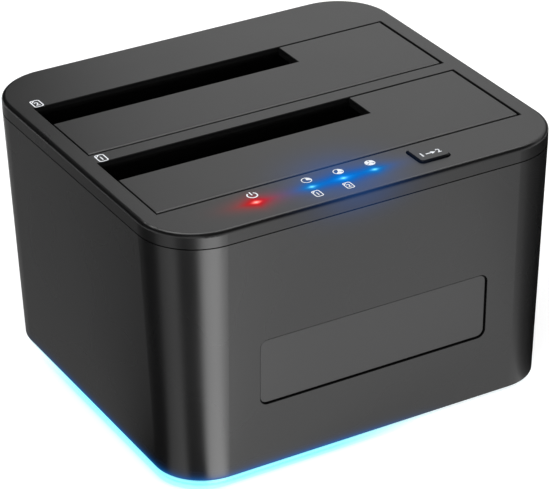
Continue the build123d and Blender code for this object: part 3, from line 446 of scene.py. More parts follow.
# %% Plastic finishes
def moulded(name, colour, roughness, grain=0.22 * mm, bump=0.04, unevenness=0.015, spills=(),
            edge_glow_colour=None, specular=0.5, pocket_shade=0.0, nose=None, painted_glow=None):
    """Moulded plastic with its grain, painted shade in bays and gaps, and painted light: lamp spill and
    glows.
    """
    material, tree = start_material(name)
    grained = use_group(
        tree, grain_shade_group,
        {"Grain size": grain, "Roughness": roughness, "Unevenness": unevenness, "Pocket shade": pocket_shade,
         "Colour": (*colour, 1.0)},
    )
    normal = bumped(tree, grained["Height"], bump, grain)
    if nose is not None:
        nose_height = use_group(tree, nose_group, {"Edge": nose})["Height"]
        normal = bumped(tree, nose_height, 1.0, 1.0, Normal=normal)
    surface = place(
        tree, "BsdfPrincipled",
        {"Base Color": grained["Colour"], "Roughness": grained["Roughness"], "Normal": normal,
         "Specular IOR Level": specular},
    )
    light = (0.0, 0.0, 0.0, 1.0)
    for spot_values in spills:
        light = use_group(tree, haze_group, {**spot_values, "Before": light})["Colour"]
    # Painted light from the ring on the lowest edge, given as emission.
    if edge_glow_colour:
        light = use_group(tree, edge_group, {"Tint": (*edge_glow_colour, 1.0), "Before": light})["Colour"]
    if spills or edge_glow_colour:
        drowned = use_group(
            tree, drown_group,
            {"Light": light, "Painted daylight": grained["Painted daylight"], "Colour": grained["Colour"],
             "Roughness": grained["Roughness"]},
        )
        tree.links.new(drowned["Light"], surface.inputs["Emission Color"])
        tree.links.new(drowned["Colour"], surface.inputs["Base Color"])
        tree.links.new(drowned["Roughness"], surface.inputs["Roughness"])
        tree.links.new(drowned["Share"], surface.inputs["Metallic"])
        surface.inputs["Emission Strength"].default_value = 1.0
    # A painted glow of the material's own, given as emission.
    if painted_glow:
        surface.inputs["Emission Color"].default_value = (*painted_glow, 1.0)
        surface.inputs["Emission Strength"].default_value = 1.0
    finish_material(tree, surface)
    return material


case_colour = (0.0065, 0.0065, 0.0067)
# The top parts get painted shade inside their bays and gaps.
top_finish = {"colour": case_colour, "roughness": 0.29, "specular": 0.43, "pocket_shade": 1.0}
cover_black = moulded("cover_black", spills=red_spills + blue_spills, **top_finish)
button_black = moulded("button_black", spills=[wide_spill], **top_finish)
flap_finishes = {
    flap: moulded(flap + "_black", spills=[wide_spill], nose=nose_y[flap], **top_finish)
    for flap in flap_names
}
# The ring's glow on the housing's lowest edge is painted light, given as emission.
housing_black = moulded(
    "housing_black", case_colour, 0.27, spills=[wide_spill], edge_glow_colour=(0.0, 0.11, 0.40)
)
# Painted highlights: thin bands of light along the plate's top and left edges, given as emission.
rim_light = (0.065, 0.065, 0.067)
plate_rim_highlights = [
    spill((0, 0, plate_high.z), (1000, 1000, 0.14), rim_light),
    spill((plate_low.x, 0, 0), (0.14, 1000, 1000), rim_light),
]
plate_black = moulded("plate_black", (0.026, 0.026, 0.0265), 0.30, grain=0.3 * mm, spills=plate_rim_highlights)
base_black = moulded("base_black", (0.028, 0.028, 0.029), 0.42, grain=0.5 * mm, bump=0.15)
well_black = moulded(
    "well_black", (0.004, 0.004, 0.004), 0.6, grain=0.4 * mm, bump=0.12, specular=0.15
)
connector_black = moulded("connector_black", (0.012, 0.012, 0.012), 0.45, grain=0.12 * mm)
switch_black = moulded("switch_black", (0.018, 0.018, 0.018), 0.22, grain=0.15 * mm, bump=0.03)
chip_black = moulded("chip_black", (0.016, 0.016, 0.018), 0.55, grain=0.08 * mm, bump=0.2)
foot_rubber = moulded("foot_rubber", (0.022, 0.022, 0.022), 0.75, grain=0.3 * mm, bump=0.25)
coil_grey = moulded("coil_grey", (0.11, 0.11, 0.115), 0.6, grain=0.15 * mm, bump=0.3)
tongue_blue = moulded("tongue_blue", (0.015, 0.09, 0.42), 0.35, grain=0.15 * mm, bump=0.04)
header_white = moulded("header_white", (0.72, 0.70, 0.62), 0.4, grain=0.2 * mm, bump=0.05)
lamp_white = moulded("lamp_white", (0.80, 0.78, 0.62), 0.3, grain=0.2 * mm, bump=0.03)
print("Plastics made:", len(bpy.data.materials))

# %% [markdown]
# ## Printed marks
#
# The marks are pad-printed in a white ink that stands a few hundredths of a millimetre proud. The
# ink also has a faint painted glow, given as emission, so that it looks a little brighter.

# %% Ink
ink_white = moulded(
    "ink_white", (0.80, 0.81, 0.82), 0.5, grain=0.1 * mm, bump=0.1, painted_glow=(0.18, 0.20, 0.23)
)

# %% [markdown]
# ## Metals
#
# Drawn and plated metal shows fine lines along the way that it was worked. Noise that is stretched
# along one axis gives those lines to the roughness and to a faint bump.

# %% Metal finishes
drawn_group, drawn_in = start_group(
    "drawn_lines",
    {"Lines": "Vector", "Roughness": "Float", "Unevenness": "Float"},
    {"Roughness": "Float", "Height": "Float"},
)
stretched = compute_vector(drawn_group, "MULTIPLY", object_place(drawn_group), drawn_in["Lines"])
line_noise = place(drawn_group, "TexNoise", {"Vector": stretched, "Scale": 1.0, "Detail": 3.0})
line_sway = ranged(drawn_group, line_noise.outputs["Fac"], (0.3, 0.7), (-1.0, 1.0))
line_part = compute(drawn_group, "MULTIPLY", line_sway, drawn_in["Unevenness"])
finish_group(drawn_group, {
    "Roughness": compute(drawn_group, "ADD", line_part, drawn_in["Roughness"]),
    "Height": line_noise.outputs["Fac"],
})


def metal(name, colour, roughness, lines, unevenness=0.08):
    """Plated or drawn metal with fine lines; lines gives the line count per metre in x, y and z."""
    material, tree = start_material(name)
    drawn = use_group(tree, drawn_group, {"Lines": lines, "Roughness": roughness, "Unevenness": unevenness})
    surface = place(
        tree, "BsdfPrincipled",
        {"Base Color": (*colour, 1.0), "Metallic": 1.0, "Roughness": drawn["Roughness"],
         "Normal": bumped(tree, drawn["Height"], 0.05, 0.1 * mm)},
    )
    finish_material(tree, surface)
    return material


fine, coarse = 9000.0, 500.0
shell_nickel = metal("shell_nickel", (0.68, 0.68, 0.65), 0.25, (fine, coarse, fine))
screw_steel = metal("screw_steel", (0.10, 0.10, 0.105), 0.38, (fine, fine, coarse))
pin_steel = metal("pin_steel", (0.36, 0.36, 0.37), 0.32, (coarse, fine, fine))
spring_steel = metal("spring_steel", (0.30, 0.30, 0.31), 0.3, (fine, fine, fine))
capacitor_metal = metal("capacitor_metal", (0.75, 0.76, 0.78), 0.28, (fine, fine, coarse))
contact_gold = metal("contact_gold", (0.95, 0.75, 0.35), 0.22, (fine, fine, coarse))
print("Metals made, materials in all:", len(bpy.data.materials))

# %% [markdown]
# ## Circuit boards
#
# Solder mask is a glossy lacquer over glass cloth. Copper tracks under it show as slightly paler
# lines, and a fine weave shows where the light grazes it.

# %% Board lacquer
board_green, board_tree = start_material("board_green")
board_place = object_place(board_tree)
board_tracks = place(
    board_tree, "TexBrick",
    {"Vector": board_place, "Scale": 220.0, "Mortar Size": 0.06, "Mortar Smooth": 0.1,
     "Color1": (0.004, 0.055, 0.022, 1), "Color2": (0.005, 0.075, 0.030, 1),
     "Mortar": (0.012, 0.150, 0.060, 1), "Brick Width": 1.3, "Row Height": 0.5},
)
board_weave = place(board_tree, "TexNoise", {"Vector": board_place, "Scale": 1500.0, "Detail": 1.0})
board_surface = place(
    board_tree, "BsdfPrincipled",
    {"Base Color": board_tracks.outputs["Color"], "Roughness": 0.28,
     "Normal": bumped(board_tree, board_weave.outputs["Fac"], 0.05, 0.1 * mm)},
)
finish_material(board_tree, board_surface)

# %% [markdown]
# The flat cable is eight wires side by side. A wave across its width gives their ribs, and paints
# the grooves between the wires darker, as painted shade.

# %% Flat cable
ribbon_white, ribbon_tree = start_material("ribbon_white")
ribbon_wave = place(
    ribbon_tree, "TexWave", {"Vector": object_place(ribbon_tree), "Scale": 157.0}, bands_direction="X"
).outputs["Fac"]
# Painted shade: the grooves between the wires are darker.
groove_shade, wire_white = (0.42, 0.42, 0.41, 1), (0.78, 0.78, 0.75, 1)
ribbon_surface = place(
    ribbon_tree, "BsdfPrincipled",
    {"Base Color": mixed(ribbon_tree, ribbon_wave, groove_shade, wire_white), "Roughness": 0.45,
     "Normal": bumped(ribbon_tree, ribbon_wave, 0.6, 0.3 * mm)},
)
finish_material(ribbon_tree, ribbon_surface)

# %% [markdown]
# ## Lit lenses and the light guide
#
# A lit lens carries the same spots of light as the cover round it, so the light runs on without an
# edge. Its own plastic is smooth and has the colour of the lamp under it. The light guide is brightest
# low down, where it faces the floor. Where its light has faded it is pale plastic with a faint grey
# painted glow, which lifts it out of the shade under the housing, and where it is lit its base colour
# is painted towards the light's colour too.

# %% Lit plastics
lens_red = moulded("lens_red", (0.30, 0.02, 0.015), 0.12, bump=0.02, spills=red_spills)
lens_blue = moulded("lens_blue", (0.01, 0.10, 0.35), 0.12, bump=0.02, spills=blue_spills)

guide_low_z, guide_high_z = 1.0 * mm, 2.3 * mm
guide_light, guide_tree = start_material("guide_light")
guide_place = object_place(guide_tree)
guide_share = use_group(guide_tree, fade_group, {"Place": guide_place})["Share"]
guide_height = ranged(
    guide_tree, axes_of(guide_tree, guide_place)["Z"], (guide_low_z, guide_high_z), (1.0, 0.0)
)
guide_colour = mixed(guide_tree, guide_height, (0.0, 0.06, 0.14, 1), (0.20, 1.0, 1.0, 1))
# Painted glow: where the ring's light has faded, the guide still gives a faint grey light.
guide_lit = mixed(guide_tree, guide_share, (0.38, 0.42, 0.43, 1), guide_colour)
guide_plastic_and_light = mixed(guide_tree, guide_share, (0.80, 0.83, 0.84, 1), (0.35, 0.62, 0.70, 1))
guide_surface = place(
    guide_tree, "BsdfPrincipled",
    {"Base Color": guide_plastic_and_light, "Roughness": 0.35, "Emission Color": guide_lit,
     "Emission Strength": 1.0},
)
finish_material(guide_tree, guide_surface)

# %% [markdown]
# ## Each part gets its finish
#
# The frame's parts keep their shape. Only their material slots change.

# %% Finish table
finishes = {
    cover_black: ["top_cover"],
    housing_black: ["housing"],
    flap_finishes["rear_flap"]: ["rear_flap"],
    flap_finishes["front_flap"]: ["front_flap"],
    button_black: ["copy_button"],
    plate_black: ["front_plate"],
    base_black: ["base_plate"],
    well_black: ["rear_drive_guide", "front_drive_guide"],
    connector_black: ["rear_connector", "front_connector", "power_jack"],
    switch_black: ["power_switch", "power_rocker", "push_switch", "push_switch_plunger"],
    chip_black: ["bridge_chips"],
    foot_rubber: ["foot_front_left", "foot_front_right", "foot_rear_left", "foot_rear_right"],
    coil_grey: ["power_coils"],
    tongue_blue: ["usb_tongue"],
    header_white: ["ribbon_headers"],
    lamp_white: ["ring_lamps", "front_lamps"],
    shell_nickel: ["usb_port", "jack_pin", "crystal"],
    screw_steel: ["base_screws", "board_screws", "lamp_board_screws"],
    pin_steel: ["rear_flap_pin", "front_flap_pin"],
    spring_steel: ["rear_flap_spring", "front_flap_spring"],
    capacitor_metal: ["capacitors"],
    contact_gold: ["rear_contacts", "front_contacts"],
    board_green: ["main_board", "lamp_board"],
    ribbon_white: ["ribbon"],
    lens_red: ["power_lens"],
    lens_blue: ["progress_lenses"],
    guide_light: ["light_ring"],
}
for finish, names in finishes.items():
    for name in names:
        for material_slot in nodes[name].material_slots:
            material_slot.material = finish
print("Finished parts:", sum(len(names) for names in finishes.values()), "of", len(nodes))

# %% [markdown]
# ## The marks on the cover
#
# A mark is a flat figure with a hair of thickness. Each figure starts as a circle, a plane or a
# letter, is cut to its outline in edit mode, and gets its thickness from a Solidify modifier.

# %% Mark helpers
ink_rise = 0.02 * mm
circle_points = 72
digit_height = 0.7  # of the font's size


def thicken(piece):
    """Give a flat mark the thickness of its ink, upwards."""
    place_into_mesh(piece)
    pick(piece, "FACE")
    bpy.ops.mesh.normals_make_consistent(inside=False)
    only(piece)
    if piece.data.polygons[0].normal.z < 0:
        pick(piece, "FACE")
        bpy.ops.mesh.flip_normals()
        only(piece)
    solid = piece.modifiers.new("ink", "SOLIDIFY")
    solid.thickness = ink_rise
    solid.offset = 1.0
    bpy.ops.object.modifier_apply(modifier="ink")
    return piece


def arc_line(centre, radius, line, gap=0.0, gap_at=90.0):
    """A round line, with an open stretch of gap degrees if wanted."""
    deselect_all()
    bpy.ops.mesh.primitive_circle_add(vertices=circle_points, radius=radius - line / 2, location=centre)
    piece = bpy.context.object

    def in_gap(point):
        turn = math.degrees(math.atan2(point.co.y, point.co.x))
        return abs((turn - gap_at + 180) % 360 - 180) < gap / 2

    if gap:
        pick(piece, "VERT", in_gap)
        bpy.ops.mesh.delete(type="VERT")
    pick(piece, "EDGE")
    bpy.ops.mesh.extrude_edges_move()
    bpy.ops.transform.resize(
        value=((radius + line / 2) / (radius - line / 2),) * 2 + (1,), center_override=centre
    )
    only(piece)
    return piece


def disc_part(centre, radius, start, sweep):
    """A filled part of a disc, from start degrees and counter-clockwise through sweep degrees."""
    deselect_all()
    bpy.ops.mesh.primitive_circle_add(
        vertices=circle_points, radius=radius, fill_type="TRIFAN", location=centre
    )
    piece = bpy.context.object

    def outside(face):
        place_in_face = middle(face)
        turn = math.degrees(math.atan2(place_in_face.y, place_in_face.x))
        return (turn - start) % 360 > sweep

    pick(piece, "FACE", outside)
    bpy.ops.mesh.delete(type="FACE")
    only(piece)
    return piece


def straight_line(start, end, line, z):
    """A straight stroke between two points."""
    run = Vector(end) - Vector(start)
    halfway = (Vector(start) + Vector(end)) / 2
    deselect_all()
    bpy.ops.mesh.primitive_plane_add(size=1, location=(halfway.x, halfway.y, z))
    piece = bpy.context.object
    piece.scale = (run.length, line, 1)
    piece.rotation_euler = (0, 0, math.atan2(run.y, run.x))
    return piece


def figure(text, centre, height, weight):
    """A plain number, centred on a point; weight is added to each side of its strokes."""
    deselect_all()
    bpy.ops.object.text_add(location=centre)
    piece = bpy.context.object
    piece.data.body = text
    piece.data.size = height / digit_height
    piece.data.align_x = "CENTER"
    piece.data.align_y = "CENTER"
    piece.data.offset = weight
    bpy.ops.object.convert(target="MESH")
    return bpy.context.object


def card_outline(centre, width, height, corner, line):
    """A rounded upright frame, which stands for a drive."""
    deselect_all()
    bpy.ops.mesh.primitive_plane_add(size=1, location=centre)
    piece = bpy.context.object
    piece.scale = (width, height, 1)
    bpy.ops.object.transform_apply(location=False, rotation=False, scale=True)
    pick(piece, "VERT")
    bpy.ops.mesh.bevel(offset=corner, segments=5, affect="VERTICES")
    pick(piece, "FACE")
    bpy.ops.mesh.inset(thickness=line)
    bpy.ops.mesh.delete(type="FACE")
    only(piece)
    return piece


def drive_mark(number, x, y, z, size):
    """A drive's outline with its number inside and a short fold line at the top left."""
    unit = size * mm
    width, height = 2.2 * unit, 3.2 * unit
    left_x, upper_y = x - width / 2, y + height / 2
    near, far = 0.3 * unit, 0.95 * unit
    outline = card_outline((x, y, z), width, height, 0.55 * unit, 0.26 * unit)
    digit = figure(number, (x, y - 0.2 * unit, z), 1.45 * unit, 0.05 * unit)
    fold = straight_line((left_x + near, upper_y - far), (left_x + far, upper_y - near), 0.24 * unit, z)
    return [outline, digit, fold]


def print_mark(parts, name, body="case"):
    """Thicken the flat parts of a mark, join them and let the mark ride on a body."""
    settle(join([thicken(part) for part in parts]), name, body, ink_white)

# %% [markdown]
# The power mark is the usual open ring with a stroke. The three round marks tell how far a copy has
# come: a third, two thirds and all of it. All marks stand where the photograph shows them.

# %% Power mark and progress marks
mark_row_y = -39.65 * mm
power_mark_x = -27.8 * mm
power_line = 0.36 * mm
power_ring = arc_line((power_mark_x, mark_row_y, top_z), 1.27 * mm, power_line, gap=62)
power_stroke = straight_line(
    (power_mark_x, mark_row_y), (power_mark_x, mark_row_y + 1.65 * mm), power_line, top_z
)
print_mark([power_ring, power_stroke], "power_mark")

progress_mark_x = (-12.7 * mm, -3.75 * mm, 5.3 * mm)
pie_radius = 1.25 * mm
pie_pitch, pie_sweep = 120, 102
pie_parts = []
for step, x in enumerate(progress_mark_x):
    spot_centre = (x, mark_row_y, top_z)
    pie_parts.append(arc_line(spot_centre, pie_radius, 0.23 * mm))
    for third in range(step + 1):
        sector_start = 90 - pie_pitch * (third + 1) + (pie_pitch - pie_sweep) / 2
        pie_parts.append(disc_part(spot_centre, pie_radius, sector_start, pie_sweep))
print_mark(pie_parts, "progress_marks")

# %% [markdown]
# Two small drives with their numbers stand before the lamps, and one beside each slot.

# %% Drive marks
drive_parts = []
drive_places = (
    ("1", -13.9 * mm, -47.0 * mm, 1.0), ("2", -5.3 * mm, -47.2 * mm, 1.0),
    ("2", -50.2 * mm, 33.5 * mm, 1.25), ("1", -49.9 * mm, -2.9 * mm, 1.2),
)
for number, x, y, size in drive_places:
    drive_parts += drive_mark(number, x, y, top_z, size)
print_mark(drive_parts, "drive_marks")

# %% [markdown]
# The button copies drive 1 to drive 2, so its face says so with two numbers and an arrow.

# %% Button label
label_x, label_y = ((button_low + button_high) / 2 + Vector((0, -0.9 * mm, 0))).xy
label_z = button_high.z
label_height = 1.7 * mm
digit_reach = 2.4 * mm
arrow_line, arrow_head = 0.36 * mm, 0.8 * mm
arrow_start_x, arrow_neck_x, arrow_head_x = label_x - 1.3 * mm, label_x + 0.5 * mm, label_x + 0.7 * mm
label_parts = [
    figure("1", (label_x - digit_reach, label_y, label_z), label_height, 0.10 * mm),
    figure("2", (label_x + digit_reach, label_y, label_z), label_height, 0.06 * mm),
    straight_line((arrow_start_x, label_y), (arrow_neck_x, label_y), arrow_line, label_z),
]
deselect_all()
bpy.ops.mesh.primitive_circle_add(
    vertices=3, radius=arrow_head, fill_type="NGON", rotation=(0, 0, -math.pi / 2),
    location=(arrow_head_x, label_y, label_z),
)
label_parts.append(bpy.context.object)
print_mark(label_parts, "button_label", "copy_button")

# %% [markdown]
# The rocker at the back has a stroke for on and a ring for off. Each mark is drawn flat at the origin
# and then laid on its half of the rocker's dished face.

# %% Rocker marks
rocker = nodes["power_rocker"]
rocker_low, rocker_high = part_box("power_rocker")
rocker_middle = (rocker_low + rocker_high) / 2
rocker_mark_size = 2.4 * mm
looks_back, in_one_plane = 0.8, 0.9999


def half_of_rocker(side):
    """The middle of one half of the rocker's face, and the way that the half looks."""
    faces = [
        face for face in rocker.data.polygons
        if face.normal.y > looks_back and (face.center.x - rocker_middle.x) * side > 0
    ]
    way = max(faces, key=lambda face: face.area).normal.copy()
    flat = [face for face in faces if face.normal.dot(way) > in_one_plane]
    area = sum(face.area for face in flat)
    centre = sum((face.center * face.area for face in flat), Vector()) / area
    return centre, way


def lay_on_rocker(mark, side):
    """Move a flat mark from the origin to one half of the rocker's face."""
    centre, way = half_of_rocker(side)
    place_into_mesh(mark)
    mark.matrix_world = Matrix.Translation(centre) @ way.to_track_quat("Z", "Y").to_matrix().to_4x4()
    return place_into_mesh(mark)


on_mark = straight_line((0, -rocker_mark_size / 2), (0, rocker_mark_size / 2), 0.45 * mm, 0)
off_mark = arc_line((0, 0, 0), rocker_mark_size / 2, 0.42 * mm)
settle(
    join([lay_on_rocker(thicken(on_mark), -1), lay_on_rocker(thicken(off_mark), 1)]),
    "rocker_marks", "power_rocker", ink_white,
)

# %% [markdown]
# ## The flaps' springs
#
# A torsion spring of round wire keeps each flap shut. One leg lies under the flap and the other down
# the cover's wall. A ring of wire becomes a coil with a Screw modifier, and its open ends are closed
# and drawn out into the legs.

# %% Springs
wire_radius = 0.22 * mm
coil_radius = 1.17 * mm
coil_pitch = 0.6 * mm
coil_turns = 4.25
coil_reach = coil_turns * coil_pitch
coil_start_x = -1.2 * mm
steps_per_turn = 20
flap_leg = 8.0 * mm
wall_leg = 6.0 * mm
leg_slant = coil_pitch / (2 * math.pi * coil_radius)


def draw_out(piece, test, way):
    """Close an open end of a tube, and draw it out."""
    pick(piece, "EDGE", lambda edge: edge.is_boundary and test(middle(edge)))
    bpy.ops.mesh.edge_face_add()
    bpy.ops.mesh.extrude_region_move(TRANSFORM_OT_translate={"value": way})


def torsion_spring(flap):
    """A coil round the flap's pin, with its two legs."""
    pin_low, pin_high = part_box(flap + "_pin")
    coil_start = Vector((coil_start_x, (pin_low.y + pin_high.y) / 2, (pin_low.z + pin_high.z) / 2))
    deselect_all()
    bpy.ops.mesh.primitive_circle_add(
        vertices=12, radius=wire_radius, location=(0, 0, coil_radius), rotation=(math.pi / 2, 0, 0)
    )
    piece = place_into_mesh(bpy.context.object)
    winding = piece.modifiers.new("winding", "SCREW")
    winding.axis = "X"
    winding.angle = coil_turns * 2 * math.pi
    winding.screw_offset = coil_reach
    winding.steps = winding.render_steps = round(coil_turns * steps_per_turn)
    bpy.ops.object.modifier_apply(modifier="winding")
    draw_out(piece, lambda p: p.x < coil_reach / 2, (-leg_slant * flap_leg, flap_leg, 0))
    draw_out(piece, lambda p: p.x > coil_reach / 2, (leg_slant * wall_leg, 0, -wall_leg))
    pick(piece, "FACE")
    bpy.ops.mesh.normals_make_consistent(inside=False)
    only(piece)
    bpy.ops.object.shade_smooth_by_angle(angle=math.radians(50))
    piece.location = coil_start
    settle(piece, flap + "_torsion_spring", None, spring_steel, [flap + "_spring"])
    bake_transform(piece)


for flap in flap_names:
    torsion_spring(flap)

# %% [markdown]
# ## The screws under the base
#
# The four case screws have a rounded pan head with a cross in it, cut by a Boolean modifier.

# %% Base screws
screw_low, screw_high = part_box("base_screws")
head_radius = 2.3 * mm
head_height = 1.6 * mm
shank_radius = 1.25 * mm
head_edge, tip_edge = 0.7 * mm, 0.5 * mm
shank_bite = 0.2 * mm
cross_length, cross_width, cross_depth = 2.6 * mm, 0.6 * mm, 0.9 * mm


def round_bar(radius, low_z, high_z, x, y):
    """An upright round bar between two heights."""
    deselect_all()
    bpy.ops.mesh.primitive_cylinder_add(
        vertices=32, radius=radius, depth=high_z - low_z, location=(x, y, (low_z + high_z) / 2)
    )
    return place_into_mesh(bpy.context.object)


def round_end(piece, end_z, size, segments):
    """Bevel a bar's end face all round."""
    pick(piece, "EDGE", lambda edge: abs(middle(edge).z - end_z) < 0.1 * mm)
    bpy.ops.mesh.bevel(offset=size, segments=segments, affect="EDGES")
    only(piece)


def case_screw(x, y):
    """A pan-head screw, head down, with a cross in its head."""
    low_z, seat_z, tip_z = screw_low.z, screw_low.z + head_height, screw_high.z
    head = round_bar(head_radius, low_z, seat_z, x, y)
    round_end(head, low_z, head_edge, 4)
    for length, width in ((cross_length, cross_width), (cross_width, cross_length)):
        deselect_all()
        bpy.ops.mesh.primitive_cube_add(size=1, location=(x, y, low_z))
        cutter = bpy.context.object
        cutter.scale = (length, width, 2 * cross_depth)
        place_into_mesh(cutter)
        only(head)
        cut = head.modifiers.new("cross", "BOOLEAN")
        cut.operation = "DIFFERENCE"
        cut.object = cutter
        bpy.ops.object.modifier_apply(modifier="cross")
        bpy.data.objects.remove(cutter)
    shank = round_bar(shank_radius, seat_z - shank_bite, tip_z, x, y)
    round_end(shank, tip_z, tip_edge, 2)
    return join([head, shank])


screw_x = screw_high.x - head_radius
screw_y = screw_high.y - head_radius
case_screws = join([case_screw(x, y) for x in (-screw_x, screw_x) for y in (-screw_y, screw_y)])
bpy.ops.object.shade_smooth_by_angle(angle=math.radians(30))
settle(case_screws, "case_screws", "case", screw_steel, ["base_screws"])

# %% [markdown]
# ## The studio
#
# The floor is white and so is the room. Satin black shows little of its own colour and much of what
# it reflects, so the light is shaped with cards, as a product photographer does: black cards keep
# some edges dark, and pale cards draw a bright line along others. The cards only show in
# reflections. The room lights the object at a plain level, and is white to the eye.

# %% Room
def seen_by_eye(tree):
    """1 for what the camera sees, straight, in a mirror or through glass, and 0 for what gives light."""
    rays = place(tree, "LightPath").outputs
    seen = rays["Is Camera Ray"]
    for kind in ("Is Glossy Ray", "Is Transmission Ray"):
        seen = compute(tree, "MAXIMUM", seen, rays[kind])
    return seen


world = bpy.data.worlds.new("studio")
bpy.context.scene.world = world
world.use_nodes = True
world_tree = world.node_tree
world_tree.nodes.clear()
room_level = 0.55
room_light = place(world_tree, "Background", {"Color": (1, 1, 1, 1), "Strength": room_level})
white_wall = place(world_tree, "Background", {"Color": (1, 1, 1, 1), "Strength": 1.0})
room_mix = place(
    world_tree, "MixShader",
    {"Fac": seen_by_eye(world_tree), 1: room_light.outputs[0], 2: white_wall.outputs[0]},
)
place(world_tree, "OutputWorld", {"Surface": room_mix.outputs[0]})
bpy.context.scene.view_settings.view_transform = "Standard"

# %% [markdown]
# The floor is lit like the rest, and a fill that only the eye and mirrors see lifts it to white, so
# that the object's soft shadow stays. Close to the body, the ring's light tints the fill. The tint
# depends on the distance from the body's rounded outline, worked out from its half sizes.

# %% Floor
floor_material, floor_tree = start_material("floor_white")
floor_place = object_place(floor_tree)
foot_corner = 12.4 * mm
foot_inset = 2.3 * mm
glow_reach = 0.8 * mm
half_x = (cad_high.x - cad_low.x) / 2 - foot_inset
half_y = (cad_high.y - cad_low.y) / 2 - foot_inset
past_corner = compute_vector(
    floor_tree, "SUBTRACT", compute_vector(floor_tree, "ABSOLUTE", floor_place),
    (half_x - foot_corner, half_y - foot_corner, 0),
)
only_outside = compute_vector(floor_tree, "MAXIMUM", past_corner, (0, 0, 0))
corner_distance = compute_vector(floor_tree, "LENGTH", only_outside, result="Value")
outline_distance = compute(floor_tree, "SUBTRACT", corner_distance, foot_corner)
glow_steps = compute(floor_tree, "DIVIDE", outline_distance, -glow_reach)
glow_falloff = compute(floor_tree, "EXPONENT", compute(floor_tree, "MINIMUM", glow_steps, 0.0))
floor_share = use_group(floor_tree, fade_group, {"Place": floor_place})["Share"]
glow_level = compute(floor_tree, "MULTIPLY", glow_falloff, floor_share)
fill_white, fill_glow = (0.62, 0.62, 0.62, 1), (-0.33, 0.95, 1.1, 1)
floor_fill = place(
    floor_tree, "Emission",
    {"Color": mixed(floor_tree, glow_level, fill_white, fill_glow), "Strength": seen_by_eye(floor_tree)},
)
floor_paint = place(floor_tree, "BsdfDiffuse", {"Color": (0.75, 0.75, 0.75, 1)})
floor_surface = place(
    floor_tree, "AddShader", {0: floor_paint.outputs[0], 1: floor_fill.outputs[0]}
)
finish_material(floor_tree, floor_surface)

deselect_all()
bpy.ops.mesh.primitive_plane_add(size=8, location=(0, 0, 0))
floor = bpy.context.object
floor.name = "floor"
floor.data.materials.append(floor_material)

# %% [markdown]
# The cards follow from where each surface sends the camera's ray. A rounded corner mirrors the floor
# round it, so a round card on the floor, split like a fan about that corner, sets how bright each
# strip of the corner looks. Black cards stand behind the object on both sides and hang over its
# front and its left. Two pale ones hang above, for the thin light lines along the top edges.

# %% Reflection cards
def finish_card(card, material):
    """Give a card its light, and let it show in reflections and nowhere else."""
    card.data.materials.append(material)
    card.visible_camera = False
    card.visible_diffuse = False
    card.visible_transmission = False
    card.visible_volume_scatter = False
    card.visible_shadow = False


def card(name, direction, distance, width, height, level):
    """A flat card that faces the object; level is its brightness in a mirror."""
    way = Vector(direction).normalized()
    deselect_all()
    bpy.ops.mesh.primitive_plane_add(size=1)
    piece = bpy.context.object
    piece.name = name
    piece.scale = (width, height, 1)
    piece.rotation_euler = (-way).to_track_quat("Z", "Y").to_euler()
    piece.location = Vector((0, 0, 40 * mm)) + way * distance
    material, tree = start_material(name)
    finish_material(tree, place(tree, "Emission", {"Color": (1, 1, 1, 1), "Strength": level}))
    finish_card(piece, material)


card("flag_over_front", (0.28, -0.56, 0.75), 0.60, 1.02, 0.75, 0.0)
card("flag_over_left", (-0.72, -0.12, 0.64), 0.62, 0.80, 0.62, 0.0)
card("flag_left_behind", (-0.40, 0.89, 0.21), 0.70, 1.26, 1.20, 0.0)
card("flag_right_behind", (0.94, 0.30, -0.02), 0.72, 0.90, 0.62, 0.0)
card("light_line_card", (0.43, 0.30, 0.86), 0.70, 0.34, 0.32, 3.2)
card("light_corner_card", (-0.06, 0.34, 0.94), 0.70, 0.34, 0.30, 5.0)

fan_reach = 0.32
fan_peak = 6.0


def fan_card(name, apex, stops):
    """A round card on the floor about a corner; each stop is a direction from -Y in degrees and a level."""
    first, last = stops[0][0], stops[-1][0]
    material, tree = start_material(name)
    axes = axes_of(tree, object_place(tree))
    towards_front = compute(tree, "MULTIPLY", axes["Y"], -1.0)
    turn = compute(tree, "ARCTAN2", axes["X"], towards_front)
    share = ranged(tree, turn, (math.radians(first), math.radians(last)))
    levels = place(tree, "ValToRGB", {"Fac": share})
    ramp = levels.color_ramp
    for count, (direction, level) in enumerate(stops):
        position = (direction - first) / (last - first)
        element = ramp.elements[count] if count < 2 else ramp.elements.new(position)
        element.position = position
        element.color = (level, level, level, 1)
    light = place(tree, "Emission", {"Color": levels.outputs["Color"], "Strength": fan_peak})
    finish_material(tree, light)
    deselect_all()
    bpy.ops.mesh.primitive_circle_add(vertices=96, radius=fan_reach, fill_type="TRIFAN", location=apex)
    piece = bpy.context.object
    piece.name = name

    def out_of_fan(face):
        direction = math.degrees(math.atan2(middle(face).x, -middle(face).y))
        return not first <= direction <= last

    pick(piece, "FACE", out_of_fan)
    bpy.ops.mesh.delete(type="FACE")
    only(piece)
    finish_card(piece, material)


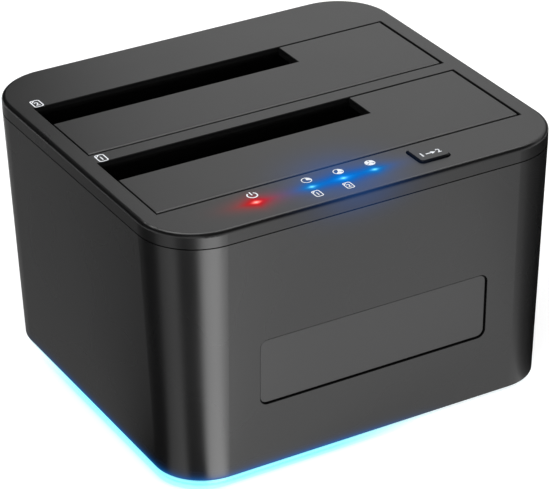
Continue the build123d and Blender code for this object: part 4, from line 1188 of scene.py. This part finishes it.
left_stops = (
    (-180, 0.050), (-160, 0.044), (-146, 0.019), (-134, 0.004), (-106, 0.004), (-97, 0.10),
    (-70, 0.19), (-60, 0.030), (-29, 0.030), (-17, 0.80), (0, 0.88), (13, 0.84), (22, 0.27),
    (62, 0.25), (76, 0.21), (180, 0.15),
)
right_stops = (
    (29, 0.23), (36, 0.135), (46, 0.065), (60, 0.025), (79, 0.007), (95, 0.001), (129, 0.0),
    (141, 0.0), (147, 0.04), (165, 0.04),
)
fan_card("fan_at_left", Vector((-44, -43, 0.3)) * mm, left_stops)
fan_card("fan_at_right", Vector((44, -43, 0.6)) * mm, right_stops)

# %% [markdown]
# Two large soft lamps give the object its shape: one high at the left, one in front at the right.

# %% Lamps
def soft_lamp(name, place_at, size, watts):
    """A square soft lamp that points at the object and doesn't show in it."""
    deselect_all()
    bpy.ops.object.light_add(type="AREA", location=place_at)
    lamp = bpy.context.object
    lamp.name = name
    lamp.data.size = size
    lamp.data.energy = watts
    lamp.rotation_euler = (-Vector(place_at)).to_track_quat("-Z", "Y").to_euler()
    lamp.visible_glossy = False


soft_lamp("key_lamp", (-0.7, -0.5, 1.3), 0.7, 7.0)
soft_lamp("fill_lamp", (1.0, -0.9, 0.9), 0.8, 4.0)

# %% [markdown]
# ## The camera
#
# The photograph's perspective was solved from the body's straight edges. It gives the direction of
# view, a slight roll, the place and the focal length.

# %% Camera
view_azimuth, view_elevation, view_roll = (math.radians(a) for a in (-29.26, 28.55, -0.97))
camera_place = Vector((-319.085, -570.349, 388.19)) * mm
camera_lens = 185.85
sensor_width = 36.0
backwards = Vector((
    math.sin(view_azimuth) * math.cos(view_elevation),
    -math.cos(view_azimuth) * math.cos(view_elevation),
    math.sin(view_elevation),
))
level_right = Vector((math.cos(view_azimuth), math.sin(view_azimuth), 0))
level_up = backwards.cross(level_right)
rolled_right = math.cos(view_roll) * level_right + math.sin(view_roll) * level_up
rolled_up = backwards.cross(rolled_right)
deselect_all()
bpy.ops.object.camera_add()
camera = bpy.context.object
camera.name = "camera"
camera.data.lens = camera_lens
camera.data.sensor_width = sensor_width
camera.data.clip_start = 0.01
turn_matrix = Matrix((rolled_right, rolled_up, backwards)).transposed().to_4x4()
camera.matrix_world = Matrix.Translation(camera_place) @ turn_matrix
bpy.context.scene.camera = camera
print("Camera looks along", [round(value, 3) for value in -backwards])
